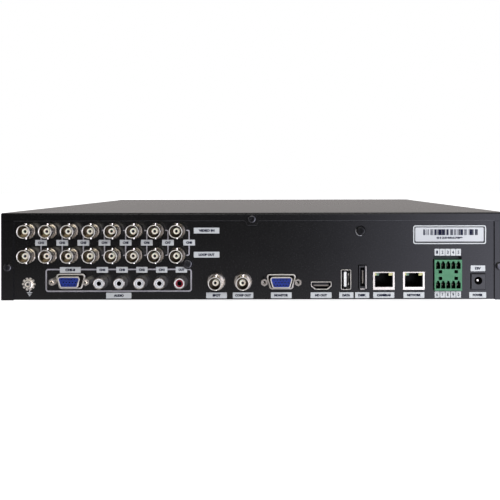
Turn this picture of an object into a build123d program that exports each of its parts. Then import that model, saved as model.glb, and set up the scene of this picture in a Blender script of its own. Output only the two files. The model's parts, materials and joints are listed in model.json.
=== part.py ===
from build123d import *

import math
import os

# Eight-channel digital video recorder for cameras, in millimetres.
# +Z is up, the front bezel faces -Y and the connectors face +Y.
# The origin is on the floor, under the middle of the recorder's outside box.

# Casing
WIDTH = 380.0  # outside of the cover
HEIGHT = 65.2  # underside of the tray to the top of the cover
DEPTH = 335.0  # bezel face to the outside of the cover's rear flanges
FOOT_HEIGHT = 5.0
SHEET = 1.0  # steel sheet
FOLD = 1.2  # outside radius of the cover's folds
SLIDE_GAP = 0.2  # between the cover and the tray inside it
COVER_DROP = 0.3  # the cover's sides reach this far below the tray
BEZEL_DEPTH = 18.0
BEZEL_WALL = 2.5
BEZEL_CLIPS = (60.0, 190.0, 320.0)
FLANGE_WIDTH = 9.6  # cover's rear side flanges
FLANGE_HEIGHT = 6.2  # cover's rear top flange

# What stands out in front and behind
BUTTON_PROUD = 1.0
BNC_REACH = 10.0  # barrel tips beyond the rear panel's face

# Boards
BOARD = 1.6
BOARD_TOP = 7.2  # main board's upper face above the tray's underside
BOARD_DEPTH = 130.0
VIDEO_BOARD_W = -13.6  # front face of the upright board behind the BNC connectors

# Rear connectors: centres across the panel and up it
BNC_FIRST, BNC_PITCH, BNC_COUNT = 20.8, 16.0, 8
BNC_IN_V, BNC_LOOP_V = 51.85, 33.55
MONITOR_BNCS = [(161.7, 13.5), (181.7, 13.5)]
PHONO_FIRST, PHONO_PITCH, PHONO_COUNT, PHONO_V = 75.8, 14.85, 5, 13.4
DSUBS = [(52.9, 14.1), (210.4, 13.6)]
HD_PORT = (240.4, 10.4)
USB_PORT = (258.9, 14.95)
DISK_PORT = (271.4, 16.7)
LAN_PORTS = [(287.4, BOARD_TOP), (309.9, BOARD_TOP)]
TERMINAL = (335.3, BOARD_TOP)
DC_JACK = (358.3, 13.9)
EARTH = (21.0, 11.9)

# Screws
THREAD = 1.5  # M3 thread radius
HOLE_EASE = 0.05
EARTH_THREAD = 2.0
WASHER_THICKNESS = 0.6
COVER_SCREWS = [(5.7, 24.5), (374.1, 25.0), (188.5, 60.5)]
PANEL_SCREWS = [(140.3, 26.9), (270.0, 51.5)]
COVER_HEAD, PANEL_HEAD = 2.9, 3.25  # screw head radii
BOARD_SCREWS = [(36, -124), (150, -124), (262, -124), (362, -124),
                (30, -30), (150, -30), (225, -30), (362, -30)]
KEY_SCREWS = [(48, 14), (48, 52), (170, 14), (170, 52), (320, 14), (320, 52)]

# BNC connector radii
BNC_COLLAR, BNC_BARREL, BNC_BORE, BNC_INSULATOR, BNC_CONTACT = 6.0, 4.85, 4.1, 2.25, 1.0
BNC_LEAD_IN = 0.85  # hole in the insulator in front of the contact
BNC_CONTACT_BACK = 3.0  # contact behind the insulator's face
BNC_SOCKET = (0.65, 5.0)  # radius and depth of the bore in the contact
MONITOR_COLLAR = 6.4
BNC_LUG_BACK = 5.3  # bayonet lugs behind the tip
BNC_INSULATOR_BACK = 3.9

# Phono connector radii and reach
PHONO_COLLAR, PHONO_SLEEVE, PHONO_ROOT, PHONO_BORE, PHONO_HOLE = 5.15, 4.15, 3.9, 3.6, 1.65
PHONO_COLLAR_PROUD, PHONO_REACH = 0.6, 8.0

# D-sub connector
DSUB_SCREW_OFFSET = 12.5
DSUB_FRAME = (21.6, 11.4)
DSUB_TUBE = (16.4, 8.4)
DSUB_WALL = 0.5
DSUB_REACH = 6.0

# Network port, from its middle and its underside
LAN_HALF, LAN_HEIGHT, LAN_DEEP = 8.05, 13.4, 16.0
LAN_MOUTH_HALF, LAN_MOUTH_LOW, LAN_MOUTH_TOP = 6.8, 2.0, 12.7
LAN_LAMP_LOW, LAN_LAMP_IN = 10.6, 3.7

# Green terminal header
TERMINAL_PITCH, TERMINAL_WIDTH, TERMINAL_FACE_TOP, TERMINAL_TOP = 3.81, 20.5, 29.8, 31.8
TERMINAL_PROUD = 2.0
TERMINAL_ROWS = (10.8, 25.4)
TERMINAL_SKIRT = 0.5  # front of the header below the board's face

# Disk drives and fan
DRIVE = (101.6, 147.0, 26.1)
DRIVE_CENTRES = (133.0, 247.0)
DRIVE_REAR_W = -158.0
BRACKET_TOP = 13.2
FAN_SIZE, FAN_DEPTH, FAN_V, FAN_W = 50.0, 15.0, 34.0, -115.0
FAN_DUCT, FAN_HUB, FAN_TIP, FAN_SHAFT = 23.5, 12.5, 22.8, 1.5
FAN_BLADES = 7

# Front: places from the bezel's left edge and up, seen from the front
WINDOW = ((40.0, 160.0), (22.0, 44.0))
FRONT_USB = (350.0, 33.0)
KEY_BOARD_DEPTH = 12.0  # key board's front face behind the bezel's face
ROUND_BUTTONS = {"power_button": (225.0, 33.0), "enter_button": (300.0, 33.0)}
BAR_BUTTONS = {
    "menu_button": (258.0, 33.0, 14.0, 8.0),
    "up_button": (300.0, 46.0, 13.0, 8.0),
    "down_button": (300.0, 20.0, 13.0, 8.0),
    "left_button": (284.0, 33.0, 8.0, 13.0),
    "right_button": (316.0, 33.0, 8.0, 13.0),
}
ROUND_BUTTON_RADIUS = 6.5
BUTTON_GAP = 0.3
STEM_END = -8.0  # back end of a button's stem
SWITCH_GAP = 1.1  # from the stem to the switch's plunger
BUTTONS = [*ROUND_BUTTONS, *BAR_BUTTONS]

# Places that follow from the sizes above
OVERALL = BUTTON_PROUD + DEPTH - SHEET + BNC_REACH
FRONT_Y = BUTTON_PROUD - OVERALL / 2
PANEL_Y = FRONT_Y + DEPTH - SHEET
TRAY_FRONT_W = BEZEL_DEPTH - DEPTH + SHEET
BEZEL_FACE_W = SHEET - DEPTH

# Panel coordinates: u across from the panel's left edge seen from behind, v up from the
# tray's underside, w out of the rear panel's outer face. Everything inside has negative w.
REAR = Plane(origin=(WIDTH / 2, PANEL_Y, FOOT_HEIGHT), x_dir=(-1, 0, 0), z_dir=(0, 1, 0))
# Bezel coordinates: the same at the front, seen from the front.
FRONT = Plane(origin=(-WIDTH / 2, FRONT_Y, FOOT_HEIGHT), x_dir=(1, 0, 0), z_dir=(0, -1, 0))


def rear(*shapes):
    """Shapes from panel coordinates, kept as separate solids of one node."""
    return Compound([REAR.location * solid for shape in shapes for solid in shape.solids()])


def front(*shapes):
    """Shapes from bezel coordinates, kept as separate solids of one node."""
    return Compound([FRONT.location * solid for shape in shapes for solid in shape.solids()])


def both(rear_group, front_group):
    """One node of solids at the rear and solids at the front."""
    return Compound([*rear_group.solids(), *front_group.solids()])


def block(u, v, w):
    """Box between three pairs of low and high."""
    return Pos(sum(u) / 2, sum(v) / 2, sum(w) / 2) * Box(u[1] - u[0], v[1] - v[0], w[1] - w[0])


def rod(place, radius, w):
    """Round bar along w."""
    return Pos(*place, sum(w) / 2) * Cylinder(radius, w[1] - w[0])


def post(place, radius, v):
    """Round upright bar at (u, w)."""
    return Pos(place[0], sum(v) / 2, place[1]) * Rot(90, 0, 0) * Cylinder(radius, v[1] - v[0])


def prism(outline, w):
    """Outline pushed along w."""
    return extrude(Pos(0, 0, w[0]) * outline, w[1] - w[0], dir=(0, 0, 1))


def side_prism(outline, u):
    """Outline drawn in (w, v), pushed along u."""
    plane = Plane(origin=(u[1], 0, 0), x_dir=(0, 0, 1), z_dir=(-1, 0, 0))
    return extrude(plane * outline, u[1] - u[0], dir=(-1, 0, 0))


def turned(*points):
    """Solid of revolution about w, from an outline of (radius, w)."""
    return revolve(Plane.XZ * Polygon(*points, align=None), Axis.Z)


def tube(place, radius, bore, w):
    """Round tube along w."""
    return rod(place, radius, w) - rod(place, bore, (w[0] - 1, w[1] + 1))


def at(places, shape):
    """Copies of a shape at (u, v) places."""
    return [Pos(*place, 0) * shape for place in places]


def hexagon(across_flats):
    """Hexagon of a width across flats."""
    return RegularPolygon(across_flats / math.sqrt(3), 6)


# ---------------------------------------------------------------- casing


def folded(u, v, w, radius):
    """Box whose top side, top rear and rear side edges are folded round."""
    box = block(u, v, w)

    def planes_met(edge):
        middle = edge.center()
        return sum((math.isclose(middle.X, u[0]) or math.isclose(middle.X, u[1]),
                    math.isclose(middle.Y, v[1]), math.isclose(middle.Z, w[1])))

    return fillet([edge for edge in box.edges() if planes_met(edge) == 2], radius)


def vent_slots():
    """Upright slots in both sides of the cover, as cutters."""
    length, width, pitch = 18.0, 3.0, 7.0
    slot = extrude(Plane.YZ * SlotOverall(length, width), WIDTH + 2 * SHEET)
    groups = ((-75.0, 14), (-215.0, 11))
    return [Pos(-SHEET, v, start - pitch * i) * slot
            for start, count in groups for i in range(count) for v in (22.0, 46.0)]


def top_cover():
    outside = folded((0, WIDTH), (-COVER_DROP, HEIGHT), (TRAY_FRONT_W, SHEET), FOLD)
    inside = folded((SHEET, WIDTH - SHEET), (-2 * COVER_DROP, HEIGHT - SHEET), (TRAY_FRONT_W - 1, 0),
                    FOLD - SHEET)
    flange_low = HEIGHT - FLANGE_HEIGHT
    window = block((FLANGE_WIDTH, WIDTH - FLANGE_WIDTH), (-1, flange_low), (-SHEET / 2, 2 * SHEET))
    tongue_top, tongue_low, tongue_drop = 5.1, 3.55, 3.4
    middle = COVER_SCREWS[2][0]
    tongue = Polygon((middle - tongue_top, flange_low), (middle + tongue_top, flange_low),
                     (middle + tongue_low, flange_low - tongue_drop),
                     (middle - tongue_low, flange_low - tongue_drop), align=None)
    relief = 0.5
    cover = outside - inside - window + prism(tongue, (0, SHEET))
    for side in ((SHEET, FLANGE_WIDTH), (WIDTH - FLANGE_WIDTH, WIDTH - SHEET)):
        cover -= block(side, (flange_low - relief, flange_low), (0, 2 * SHEET))
    for place in COVER_SCREWS:
        cover -= rod(place, THREAD + HOLE_EASE, (-1, 2))
    return rear(cover - vent_slots())


def tray_standoff(place):
    """Pressed pillar under the main board."""
    tall = (SHEET, BOARD_TOP - BOARD)
    return post(place, 3.0, tall) - post(place, THREAD + HOLE_EASE, (SHEET + 0.5, BOARD_TOP))


def fan_holder():
    """Folded tab and lips that hold the fan behind the cover's slots."""
    side = SHEET + SLIDE_GAP
    half = FAN_SIZE / 2
    low, high = FAN_W - half, FAN_W + half
    lip = (side + SHEET, side + FAN_DEPTH - 3)
    tab = block((side, side + SHEET), (0, HEIGHT - 3), (low - 3, high + 3))
    tab -= Pos(0, FAN_V, FAN_W) * Rot(0, 90, 0) * Cylinder(FAN_DUCT - 0.5, 8 * SHEET)
    tab += block(lip, (SHEET, FAN_V + half), (low - SHEET, low))
    tab += block(lip, (SHEET, FAN_V + half), (high, high + SHEET))
    return tab + block(lip, (FAN_V - half - SHEET, FAN_V - half), (low, high))


def base_tray():
    side, far = SHEET + SLIDE_GAP, WIDTH - SHEET - SLIDE_GAP
    lip_height, front_height = 14.0, 60.0
    length = (TRAY_FRONT_W, -SHEET)
    tray = block((side, far), (0, SHEET), length)
    tray += block((side, side + SHEET), (0, lip_height), length)
    tray += block((far - SHEET, far), (0, lip_height), length)
    tray += block((side, far), (0, front_height), (TRAY_FRONT_W, TRAY_FRONT_W + SHEET))
    tray -= block((25, WIDTH - 25), (12, 52), (TRAY_FRONT_W - 1, TRAY_FRONT_W + 2))
    for middle in BEZEL_CLIPS:
        tray -= block((middle - 8, middle + 8), (SHEET, 5), (TRAY_FRONT_W - 1, TRAY_FRONT_W + 2))
    tray += fan_holder()
    for place in BOARD_SCREWS:
        tray += tray_standoff(place)
    slot = Rot(90, 0, 0) * extrude(SlotOverall(24, 4), 4 * SHEET, both=True)
    for u in DRIVE_CENTRES:
        for row in range(8):
            tray -= Pos(u, 0, DRIVE_REAR_W - 20 - 14 * row) * slot
    return rear(tray)


def panel_cutouts():
    """Everything that is punched out of the rear panel."""
    ease = 0.2
    cuts = at(bnc_places(BNC_IN_V) + bnc_places(BNC_LOOP_V), rod((0, 0), BNC_COLLAR + ease, (-2, 1)))
    cuts += at(MONITOR_BNCS, rod((0, 0), MONITOR_COLLAR + ease, (-2, 1)))
    cuts += at(phono_places(), rod((0, 0), PHONO_COLLAR + ease, (-2, 1)))
    for place in DSUBS:
        cuts.append(Pos(*place, 0) * prism(d_outline(DSUB_FRAME, 2.2, 2 * ease), (-2, 1)))
        cuts += at(dsub_screw_places(place), rod((0, 0), THREAD + ease, (-2, 1)))
    cuts.append(Pos(*HD_PORT, 0) * prism(hd_outline(2 * ease), (-2, 1)))
    cuts.append(Pos(*USB_PORT, 0) * block((-3.2, 3.2), (-6.9, 6.9), (-2, 1)))
    cuts.append(Pos(*DISK_PORT, 0) * block((-3.2, 3.2), (-9.3, 9.3), (-2, 1)))
    for u, v in LAN_PORTS:
        half = LAN_HALF + ease
        cuts.append(block((u - half, u + half), (v - ease, v + LAN_HEIGHT + ease), (-2, 1)))
    u, v = TERMINAL
    half = TERMINAL_WIDTH / 2
    low = v - TERMINAL_SKIRT - ease
    cuts.append(block((u - half - 0.5, u + half + 0.4), (low, TERMINAL_TOP + 0.6), (-2, 1)))
    cuts.append(block((DC_JACK[0] - 5.9, DC_JACK[0] + 5.4), (BOARD_TOP, DC_JACK[1] + 5.5), (-2, 1)))
    cuts.append(rod(EARTH, EARTH_THREAD + HOLE_EASE, (-2, 1)))
    cuts += at(COVER_SCREWS + PANEL_SCREWS, rod((0, 0), THREAD + HOLE_EASE, (-2, 1)))
    return cuts


def rear_panel():
    top = HEIGHT - FOLD
    lip = (-10.0, -SHEET)
    side = 2 * SHEET + SLIDE_GAP
    panel = block((FOLD, WIDTH - FOLD), (0, top), (-SHEET, 0))
    for u in (side, WIDTH - side - SHEET):
        panel += block((u, u + SHEET), (SHEET, top), lip)
    for v in (SHEET, top - SHEET):
        panel += block((side + SHEET, WIDTH - side - SHEET), (v, v + SHEET), lip)
    return rear(panel - panel_cutouts())


def rubber_feet():
    radius, chamfer_size = 12.0, 1.0
    foot = Cylinder(radius, FOOT_HEIGHT)
    foot = chamfer(foot.edges().sort_by(Axis.Z)[0], chamfer_size)
    foot = Pos(0, -FOOT_HEIGHT / 2, 0) * Rot(-90, 0, 0) * foot
    return rear(*[Pos(u, 0, w) * foot for u in (40.0, 340.0) for w in (-45.0, -285.0)])


def serial_label():
    outline = Pos(336.75, 48.6) * RectangleRounded(51.3, 10.6, 0.8)
    return rear(prism(outline, (0, 0.15)))


# ---------------------------------------------------------------- screws


def pan_screw(head_radius, length):
    """Pan head screw, head up on the plane w = 0, with a cross recess."""
    height = 1.8
    head = Pos(0, 0, height / 2) * Cylinder(head_radius, height)
    head = fillet(head.edges().sort_by(Axis.Z)[-1], 0.8)
    arm, reach, deep = 0.8, head_radius, 1.1
    for size in ((arm, reach), (reach, arm)):
        head -= Pos(0, 0, height - deep / 2) * Box(*size, deep)
    return head + rod((0, 0), THREAD, (-length, 0))


def panel_screws():
    on_cover = [Pos(u, v, SHEET) * pan_screw(COVER_HEAD, 6) for u, v in COVER_SCREWS]
    return rear(*on_cover, *at(PANEL_SCREWS, pan_screw(PANEL_HEAD, 6)))


def board_screws():
    upright = Rot(-90, 0, 0) * pan_screw(2.8, 5)
    main = [Pos(u, BOARD_TOP, w) * upright for u, w in BOARD_SCREWS]
    backward = Rot(180, 0, 0) * pan_screw(2.8, 6)
    keys = [Pos(p, q, -KEY_BOARD_DEPTH - BOARD) * backward for p, q in KEY_SCREWS]
    return both(rear(*main), front(*keys))


def earth_washer():
    """Star washer with outside teeth."""
    teeth, ring, tip = 10, 3.7, 4.9
    washer = tube((0, 0), ring, EARTH_THREAD + HOLE_EASE, (0, WASHER_THICKNESS))
    tooth = block((ring - 0.4, tip), (-0.75, 0.75), (0, WASHER_THICKNESS))
    for i in range(teeth):
        washer += Rot(0, 0, 360 / teeth * i) * tooth
    return rear(Pos(*EARTH, 0) * washer)


def earth_screw():
    head_height, flats, slot_deep = 1.6, 5.8, 0.9
    head = prism(hexagon(flats), (0, head_height))
    head &= turned((0, 0), (flats / 1.75, 0), (flats / 1.75, head_height - 0.5), (flats / 2.2, head_height),
                   (0, head_height))
    head -= rod((0, 0), 1.8, (head_height - 0.4, head_height + 1))
    head -= block((-0.4, 0.4), (-1.7, 1.7), (head_height - slot_deep, head_height))
    screw = head + rod((0, 0), EARTH_THREAD, (-8, 0))
    return rear(Pos(*EARTH, WASHER_THICKNESS) * screw)


# ---------------------------------------------------------------- BNC connectors


def bnc_places(v):
    return [(BNC_FIRST + BNC_PITCH * i, v) for i in range(BNC_COUNT)]


def bnc_shell(collar=BNC_COLLAR):
    """Turned shell: collar, barrel and two bayonet lugs."""
    tip, floor, back = BNC_REACH, 3.0, VIDEO_BOARD_W + BOARD
    hole = BNC_INSULATOR + HOLE_EASE
    body = turned((hole, back), (collar, back), (collar, 2.3), (collar - 0.35, 2.7), (5.4, 2.7), (5.2, 1.9),
                  (BNC_BARREL, 1.9), (BNC_BARREL, tip - 0.4), (4.55, tip), (4.35, tip), (BNC_BORE, tip - 0.3),
                  (BNC_BORE, floor), (hole, floor))
    lug = Rot(90, 0, 0) * Cylinder(1.0, 1.3)
    lug_middle = BNC_BARREL + 0.3
    for side in (-1, 1):
        body += Pos(0, side * lug_middle, tip - BNC_LUG_BACK) * lug
    return body


def bnc_row(v):
    return rear(*at(bnc_places(v), bnc_shell()))


def monitor_bnc_shells():
    """Right-angle shells whose square bodies stand on the main board."""
    u, v = MONITOR_BNCS[0]
    foot = block((-6.6, 6.6), (BOARD_TOP - v, 6.4), (VIDEO_BOARD_W + BOARD, -SHEET))
    foot -= rod((0, 0), BNC_INSULATOR + HOLE_EASE, (-20, 0))
    return rear(*at(MONITOR_BNCS, bnc_shell(MONITOR_COLLAR) + foot))


def every_bnc(shape):
    return rear(*at(bnc_places(BNC_IN_V) + bnc_places(BNC_LOOP_V) + MONITOR_BNCS, shape))


def bnc_insulators():
    back, face = VIDEO_BOARD_W + BOARD, BNC_REACH - BNC_INSULATOR_BACK
    step = face - BNC_CONTACT_BACK
    body = tube((0, 0), BNC_INSULATOR, BNC_LEAD_IN, (back, face))
    return every_bnc(body - rod((0, 0), BNC_CONTACT + HOLE_EASE, (back, step)))


def bnc_contacts():
    front_end = BNC_REACH - BNC_INSULATOR_BACK - BNC_CONTACT_BACK
    contact = rod((0, 0), BNC_CONTACT, (VIDEO_BOARD_W + BOARD, front_end))
    bore, deep = BNC_SOCKET
    contact -= rod((0, 0), bore, (front_end - deep, front_end))
    tail = rod((0, 0), 0.5, (VIDEO_BOARD_W - 1.5, VIDEO_BOARD_W + BOARD))
    through = at(bnc_places(BNC_IN_V) + bnc_places(BNC_LOOP_V), contact + tail)
    return rear(*through, *at(MONITOR_BNCS, contact))


# ---------------------------------------------------------------- phono connectors


def phono_places():
    return [(PHONO_FIRST + PHONO_PITCH * i, PHONO_V) for i in range(PHONO_COUNT)]


def phono_housing():
    """Black block behind the panel with a collar round each connector."""
    left, right = phono_places()[0][0] - 6, phono_places()[-1][0] + 6
    housing = block((left, right), (BOARD_TOP, PHONO_V + 6), (-11, -SHEET))
    for place in phono_places():
        housing += rod(place, PHONO_COLLAR, (-SHEET, PHONO_COLLAR_PROUD))
        housing -= rod(place, PHONO_ROOT + HOLE_EASE, (-SHEET, 1))
    return rear(housing)


def phono_sleeves():
    sleeve = turned((PHONO_BORE, -SHEET), (PHONO_ROOT, -SHEET), (PHONO_ROOT, PHONO_COLLAR_PROUD),
                    (PHONO_SLEEVE, PHONO_COLLAR_PROUD), (PHONO_SLEEVE, PHONO_REACH - 0.3),
                    (PHONO_SLEEVE - 0.25, PHONO_REACH), (PHONO_BORE + 0.1, PHONO_REACH),
                    (PHONO_BORE, PHONO_REACH - 0.1))
    return rear(*at(phono_places(), sleeve))


def phono_insert():
    """Plastic tube with a rounded mouth inside a sleeve."""
    outside, mouth = PHONO_BORE - HOLE_EASE, PHONO_REACH - 0.25
    return turned((PHONO_HOLE, -SHEET), (outside, -SHEET), (outside, mouth - 0.3), (outside - 0.3, mouth),
                  (PHONO_HOLE + 0.3, mouth), (PHONO_HOLE, mouth - 0.3))


# ---------------------------------------------------------------- D-sub connectors


def d_outline(size, corner, grow=0.0):
    """D-sub outline, wide side up."""
    half, up = size[0] / 2 + grow, size[1] / 2 + grow
    lean = 2 * up * math.tan(math.radians(10))
    shape = Polygon((-half, up), (half, up), (half - lean, -up), (lean - half, -up), align=None)
    return fillet(shape.vertices(), corner)


def dsub_screw_places(place):
    return [(place[0] + side * DSUB_SCREW_OFFSET, place[1]) for side in (-1, 1)]


def dsub_shells():
    """Flange behind the panel, raised frame through it and the D-shaped tube."""
    back = -SHEET - 0.8
    shell = block((-15.4, 15.4), (-6.2, 6.2), (back, -SHEET))
    shell += prism(d_outline(DSUB_FRAME, 2.2), (-SHEET, 1.6))
    shell -= prism(d_outline(DSUB_FRAME, 1.6, -0.9), (0.2, 2))
    shell += prism(d_outline(DSUB_TUBE, 2.0), (0, DSUB_REACH))
    shell -= prism(d_outline(DSUB_TUBE, 1.4, -DSUB_WALL), (back - 1, DSUB_REACH + 1))
    for side in (-1, 1):
        shell -= rod((side * DSUB_SCREW_OFFSET, 0), THREAD + 0.2, (back - 1, 0))
    return rear(*at(DSUBS, shell))


def dsub_inserts():
    """Blue contact block with three rows of five holes."""
    rows, pitch, row_gap, hole_deep = 3, 2.29, 1.98, 3.0
    mouth = DSUB_REACH - 0.3
    insert = prism(d_outline(DSUB_TUBE, 1.3, -DSUB_WALL - 0.05), (-SHEET - 0.8, mouth))
    insert += block((-9, 9), (-5.5, 5.0), (-10.5, -SHEET - 0.8))
    for row in range(rows):
        shift = (row % 2 - 0.5) * pitch / 2
        for i in range(5):
            place = ((i - 2) * pitch + shift, (row - 1) * row_gap)
            insert -= rod(place, 0.55, (mouth - hole_deep, mouth + 1))
    return rear(*at(DSUBS, insert))


def dsub_jackscrews():
    """Hexagonal threaded pillars each side of a D-sub connector."""
    length, flats, thread = 5.5, 4.76, 1.25
    screw = prism(Rot(0, 0, 30) * hexagon(flats), (0, length))
    screw -= rod((0, 0), thread, (length - 4.5, length + 1))
    screw += rod((0, 0), THREAD, (-SHEET - 4, 0))
    return rear(*[solid for place in DSUBS for solid in at(dsub_screw_places(place), screw)])


# ---------------------------------------------------------------- data ports


def hd_outline(grow=0.0):
    """Flat port outline, wide side up, with cut lower corners."""
    half, up, corner_in, corner_up = 7.6 + grow, 2.9 + grow, 3.0, 2.5
    shape = Polygon((-half, up), (half, up), (half, corner_up - up), (half - corner_in, -up),
                    (corner_in - half, -up), (-half, corner_up - up), align=None)
    return fillet(shape.vertices(), 0.6)


def hd_port_shell():
    wall = 0.45
    shell = prism(hd_outline(), (-11.5, 0.5)) - prism(hd_outline(-wall), (-11, 1))
    return rear(Pos(*HD_PORT, 0) * shell)


def hd_port_tongue():
    tongue = prism(hd_outline(-0.5), (-11, -9)) + block((-5.6, 5.6), (0.1, 1.2), (-9, -1.2))
    return rear(Pos(*HD_PORT, 0) * tongue)


def usb_shell():
    """Upright shell, four spring lips flared round its mouth."""
    half_u, half_v, wall, flare, mouth = 2.85, 6.65, 0.35, 1.0, 0.9
    shell = block((-half_u, half_u), (-half_v, half_v), (-12, 0.1))
    lip = Polygon((0, 0), (0, 0.1), (flare, mouth), (flare, mouth - 0.35), (0.35, 0), align=None)
    long_lip = extrude(Plane.XZ * lip, 4.6, both=True)
    short_lip = extrude(Plane.XZ * lip, 2.0, both=True)
    for turn, lip_shape, reach in ((0, long_lip, half_u), (90, short_lip, half_v)):
        for side in (0, 180):
            shell += Rot(0, 0, turn + side) * Pos(reach, 0, 0) * lip_shape
    return shell - block((wall - half_u, half_u - wall), (wall - half_v, half_v - wall), (-11.5, 1))


def usb_tongue():
    """Tongue that carries the contacts, on a block at the back of the shell."""
    tongue = block((-1.3, 0.6), (-5.55, 5.55), (-10, -0.8))
    return tongue + block((-2.4, 2.4), (-6.2, 6.2), (-11.5, -10))


def usb_ports(shape):
    """A port upright in the rear panel and one lying in the bezel."""
    return both(rear(Pos(*USB_PORT, 0) * shape), front(Pos(*FRONT_USB, 0) * Rot(0, 0, 90) * shape))


def disk_port_shell():
    """Metal shell of the upright external disk port, open on its left."""
    half_u, half_v, wall = 2.9, 9.0, 0.5
    shell = block((-half_u, half_u), (-half_v, half_v), (-13, 0.3))
    shell -= block((wall - half_u, half_u - wall), (wall - half_v, half_v - wall), (-12.5, 1))
    lip = block((-2.0, 1.6), (-half_v - 0.2, 0.4 - half_v), (-1.5, 0.9))
    return rear(Pos(*DISK_PORT, 0) * (shell + lip))


def disk_port_tongue():
    """Black insert with a keyed cavity and a tongue in it."""
    insert = block((-2.35, 2.35), (-8.45, 8.45), (-12.5, -0.3))
    insert -= block((-1.7, 1.7), (-7.2, 7.2), (-9, 0))
    return rear(Pos(*DISK_PORT, 0) * (insert + block((-0.2, 0.8), (-5.0, 5.0), (-10, -1.2))))


def lan_shields():
    """Folded shield with a frame round the mouth."""
    wall, frame_deep = 0.3, 1.0
    shield = block((-LAN_HALF, LAN_HALF), (0, LAN_HEIGHT), (-LAN_DEEP, 0.4))
    shield -= block((wall - LAN_HALF, LAN_HALF - wall), (wall, LAN_HEIGHT - wall),
                    (-LAN_DEEP - 1, 0.4 - frame_deep))
    shield -= block((-LAN_MOUTH_HALF, LAN_MOUTH_HALF), (LAN_MOUTH_LOW, LAN_MOUTH_TOP), (-2, 1))
    return rear(*at(LAN_PORTS, shield))


def lan_housings():
    """Black housing: the plug's cavity, its latch notch and the lamp seats."""
    wall, cavity = 0.3, (-12.0, 0.0)
    housing = block((wall - LAN_HALF, LAN_HALF - wall), (wall, LAN_HEIGHT - wall), (-LAN_DEEP, -0.6))
    housing -= block((-6.2, 6.2), (LAN_MOUTH_LOW + 0.2, LAN_LAMP_LOW - 0.2), cavity)
    housing -= block((-3.4, 3.4), (LAN_LAMP_LOW - 0.2, LAN_MOUTH_TOP - 0.3), cavity)
    for side in (-1, 1):
        seat = sorted((side * LAN_LAMP_IN, side * LAN_MOUTH_HALF))
        housing -= block(seat, (LAN_LAMP_LOW, LAN_MOUTH_TOP), (-6, 0))
    return rear(*at(LAN_PORTS, housing))


def lan_contacts():
    """Eight spring wires that slope up from the cavity's floor."""
    count, pitch, thick, slope = 8, 1.02, 0.4, 17.0
    floor = LAN_MOUTH_LOW + 0.2
    wire = block((-thick / 2, thick / 2), (floor, floor + thick), (-12, -2.2))
    spring = block((-thick / 2, thick / 2), (0, thick), (-6.5, 0))
    wire += Pos(0, floor, -2.2) * Rot(slope, 0, 0) * spring
    comb = [Pos((i - (count - 1) / 2) * pitch, 0, 0) * wire for i in range(count)]
    return rear(*[solid for tooth in comb for solid in at(LAN_PORTS, tooth)])


def lan_lamps():
    """Lens of the link lamp and of the activity lamp in each port."""
    spans = [sorted((side * LAN_LAMP_IN, side * LAN_MOUTH_HALF)) for side in (-1, 1)]
    lamps = [block(span, (LAN_LAMP_LOW, LAN_MOUTH_TOP), (-6, 0.1)) for span in spans]
    return rear(*[solid for lamp in lamps for solid in at(LAN_PORTS, lamp)])


# ---------------------------------------------------------------- terminal and supply


def terminal_columns():
    return [TERMINAL[0] + (i - 2) * TERMINAL_PITCH for i in range(5)]


def terminal_header():
    """Two rows of five plug sockets with keyed tops, and four square holes between."""
    half = TERMINAL_WIDTH / 2
    u = TERMINAL[0]
    span = (u - half, u + half)
    header = block(span, (BOARD_TOP, TERMINAL_FACE_TOP), (-10, TERMINAL_PROUD))
    header += block(span, (TERMINAL_FACE_TOP, TERMINAL_TOP), (-10, -3 * SHEET))
    header += block(span, (BOARD_TOP - TERMINAL_SKIRT, BOARD_TOP), (-SHEET, TERMINAL_PROUD))
    mouth = (-7.0, TERMINAL_PROUD + 1)
    for column in terminal_columns():
        for row in TERMINAL_ROWS:
            header -= block((column - 1.6, column + 1.6), (row - 2.5, row + 2.0), mouth)
            header -= block((column - 0.85, column + 0.85), (row + 1.9, row + 3.3), mouth)
    for side in (-5.9, 5.9):
        for v in (15.9, 20.9):
            header -= block((u + side - 1.35, u + side + 1.35), (v - 1.25, v + 1.25), mouth)
    return rear(header)


def terminal_pins():
    half, tip = 0.38, -1.0
    pins = [block((column - half, column + half), (row - half, row + half), (-7, tip))
            for column in terminal_columns() for row in TERMINAL_ROWS]
    return rear(*pins)


def dc_jack_housing():
    u, v = DC_JACK
    housing = block((u - 5.1, u + 5.1), (BOARD_TOP + 0.4, v + 4.8), (-13, 0.5))
    housing += block((u - 5.1, u + 5.1), (BOARD_TOP, v), (-13, -SHEET))
    return rear(housing - rod(DC_JACK, 3.0, (-10, 1)))


def dc_jack_pin():
    pin = fillet(Cylinder(1.0, 8.8).edges().sort_by(Axis.Z)[-1], 0.5)
    return rear(Pos(*DC_JACK, -5.6) * pin)


# ---------------------------------------------------------------- boards


def main_board():
    board = block((26, 368), (BOARD_TOP - BOARD, BOARD_TOP), (-BOARD_DEPTH, -SHEET - 0.2))
    for place in BOARD_SCREWS:
        board -= post(place, THREAD + HOLE_EASE, (0, 2 * BOARD_TOP))
    return rear(board)


def video_board():
    """Upright board that the two rows of BNC connectors are soldered to."""
    board = block((12, 150), (BOARD_TOP, 61), (VIDEO_BOARD_W, VIDEO_BOARD_W + BOARD))
    for place in bnc_places(BNC_IN_V) + bnc_places(BNC_LOOP_V):
        board -= rod(place, 0.5 + HOLE_EASE, (VIDEO_BOARD_W - 1, 0))
    return rear(board)


def heatsink():
    low, base, top = BOARD_TOP + 2.2, 3.0, 30.0
    span_u, span_w, fin, fins = (228.0, 268.0), (-100.0, -60.0), 1.2, 9
    sink = block(span_u, (low, low + base), span_w)
    step = (span_u[1] - span_u[0] - fin) / (fins - 1)
    for i in range(fins):
        start = span_u[0] + step * i
        sink += block((start, start + fin), (low + base, top), span_w)
    return rear(sink)


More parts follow.
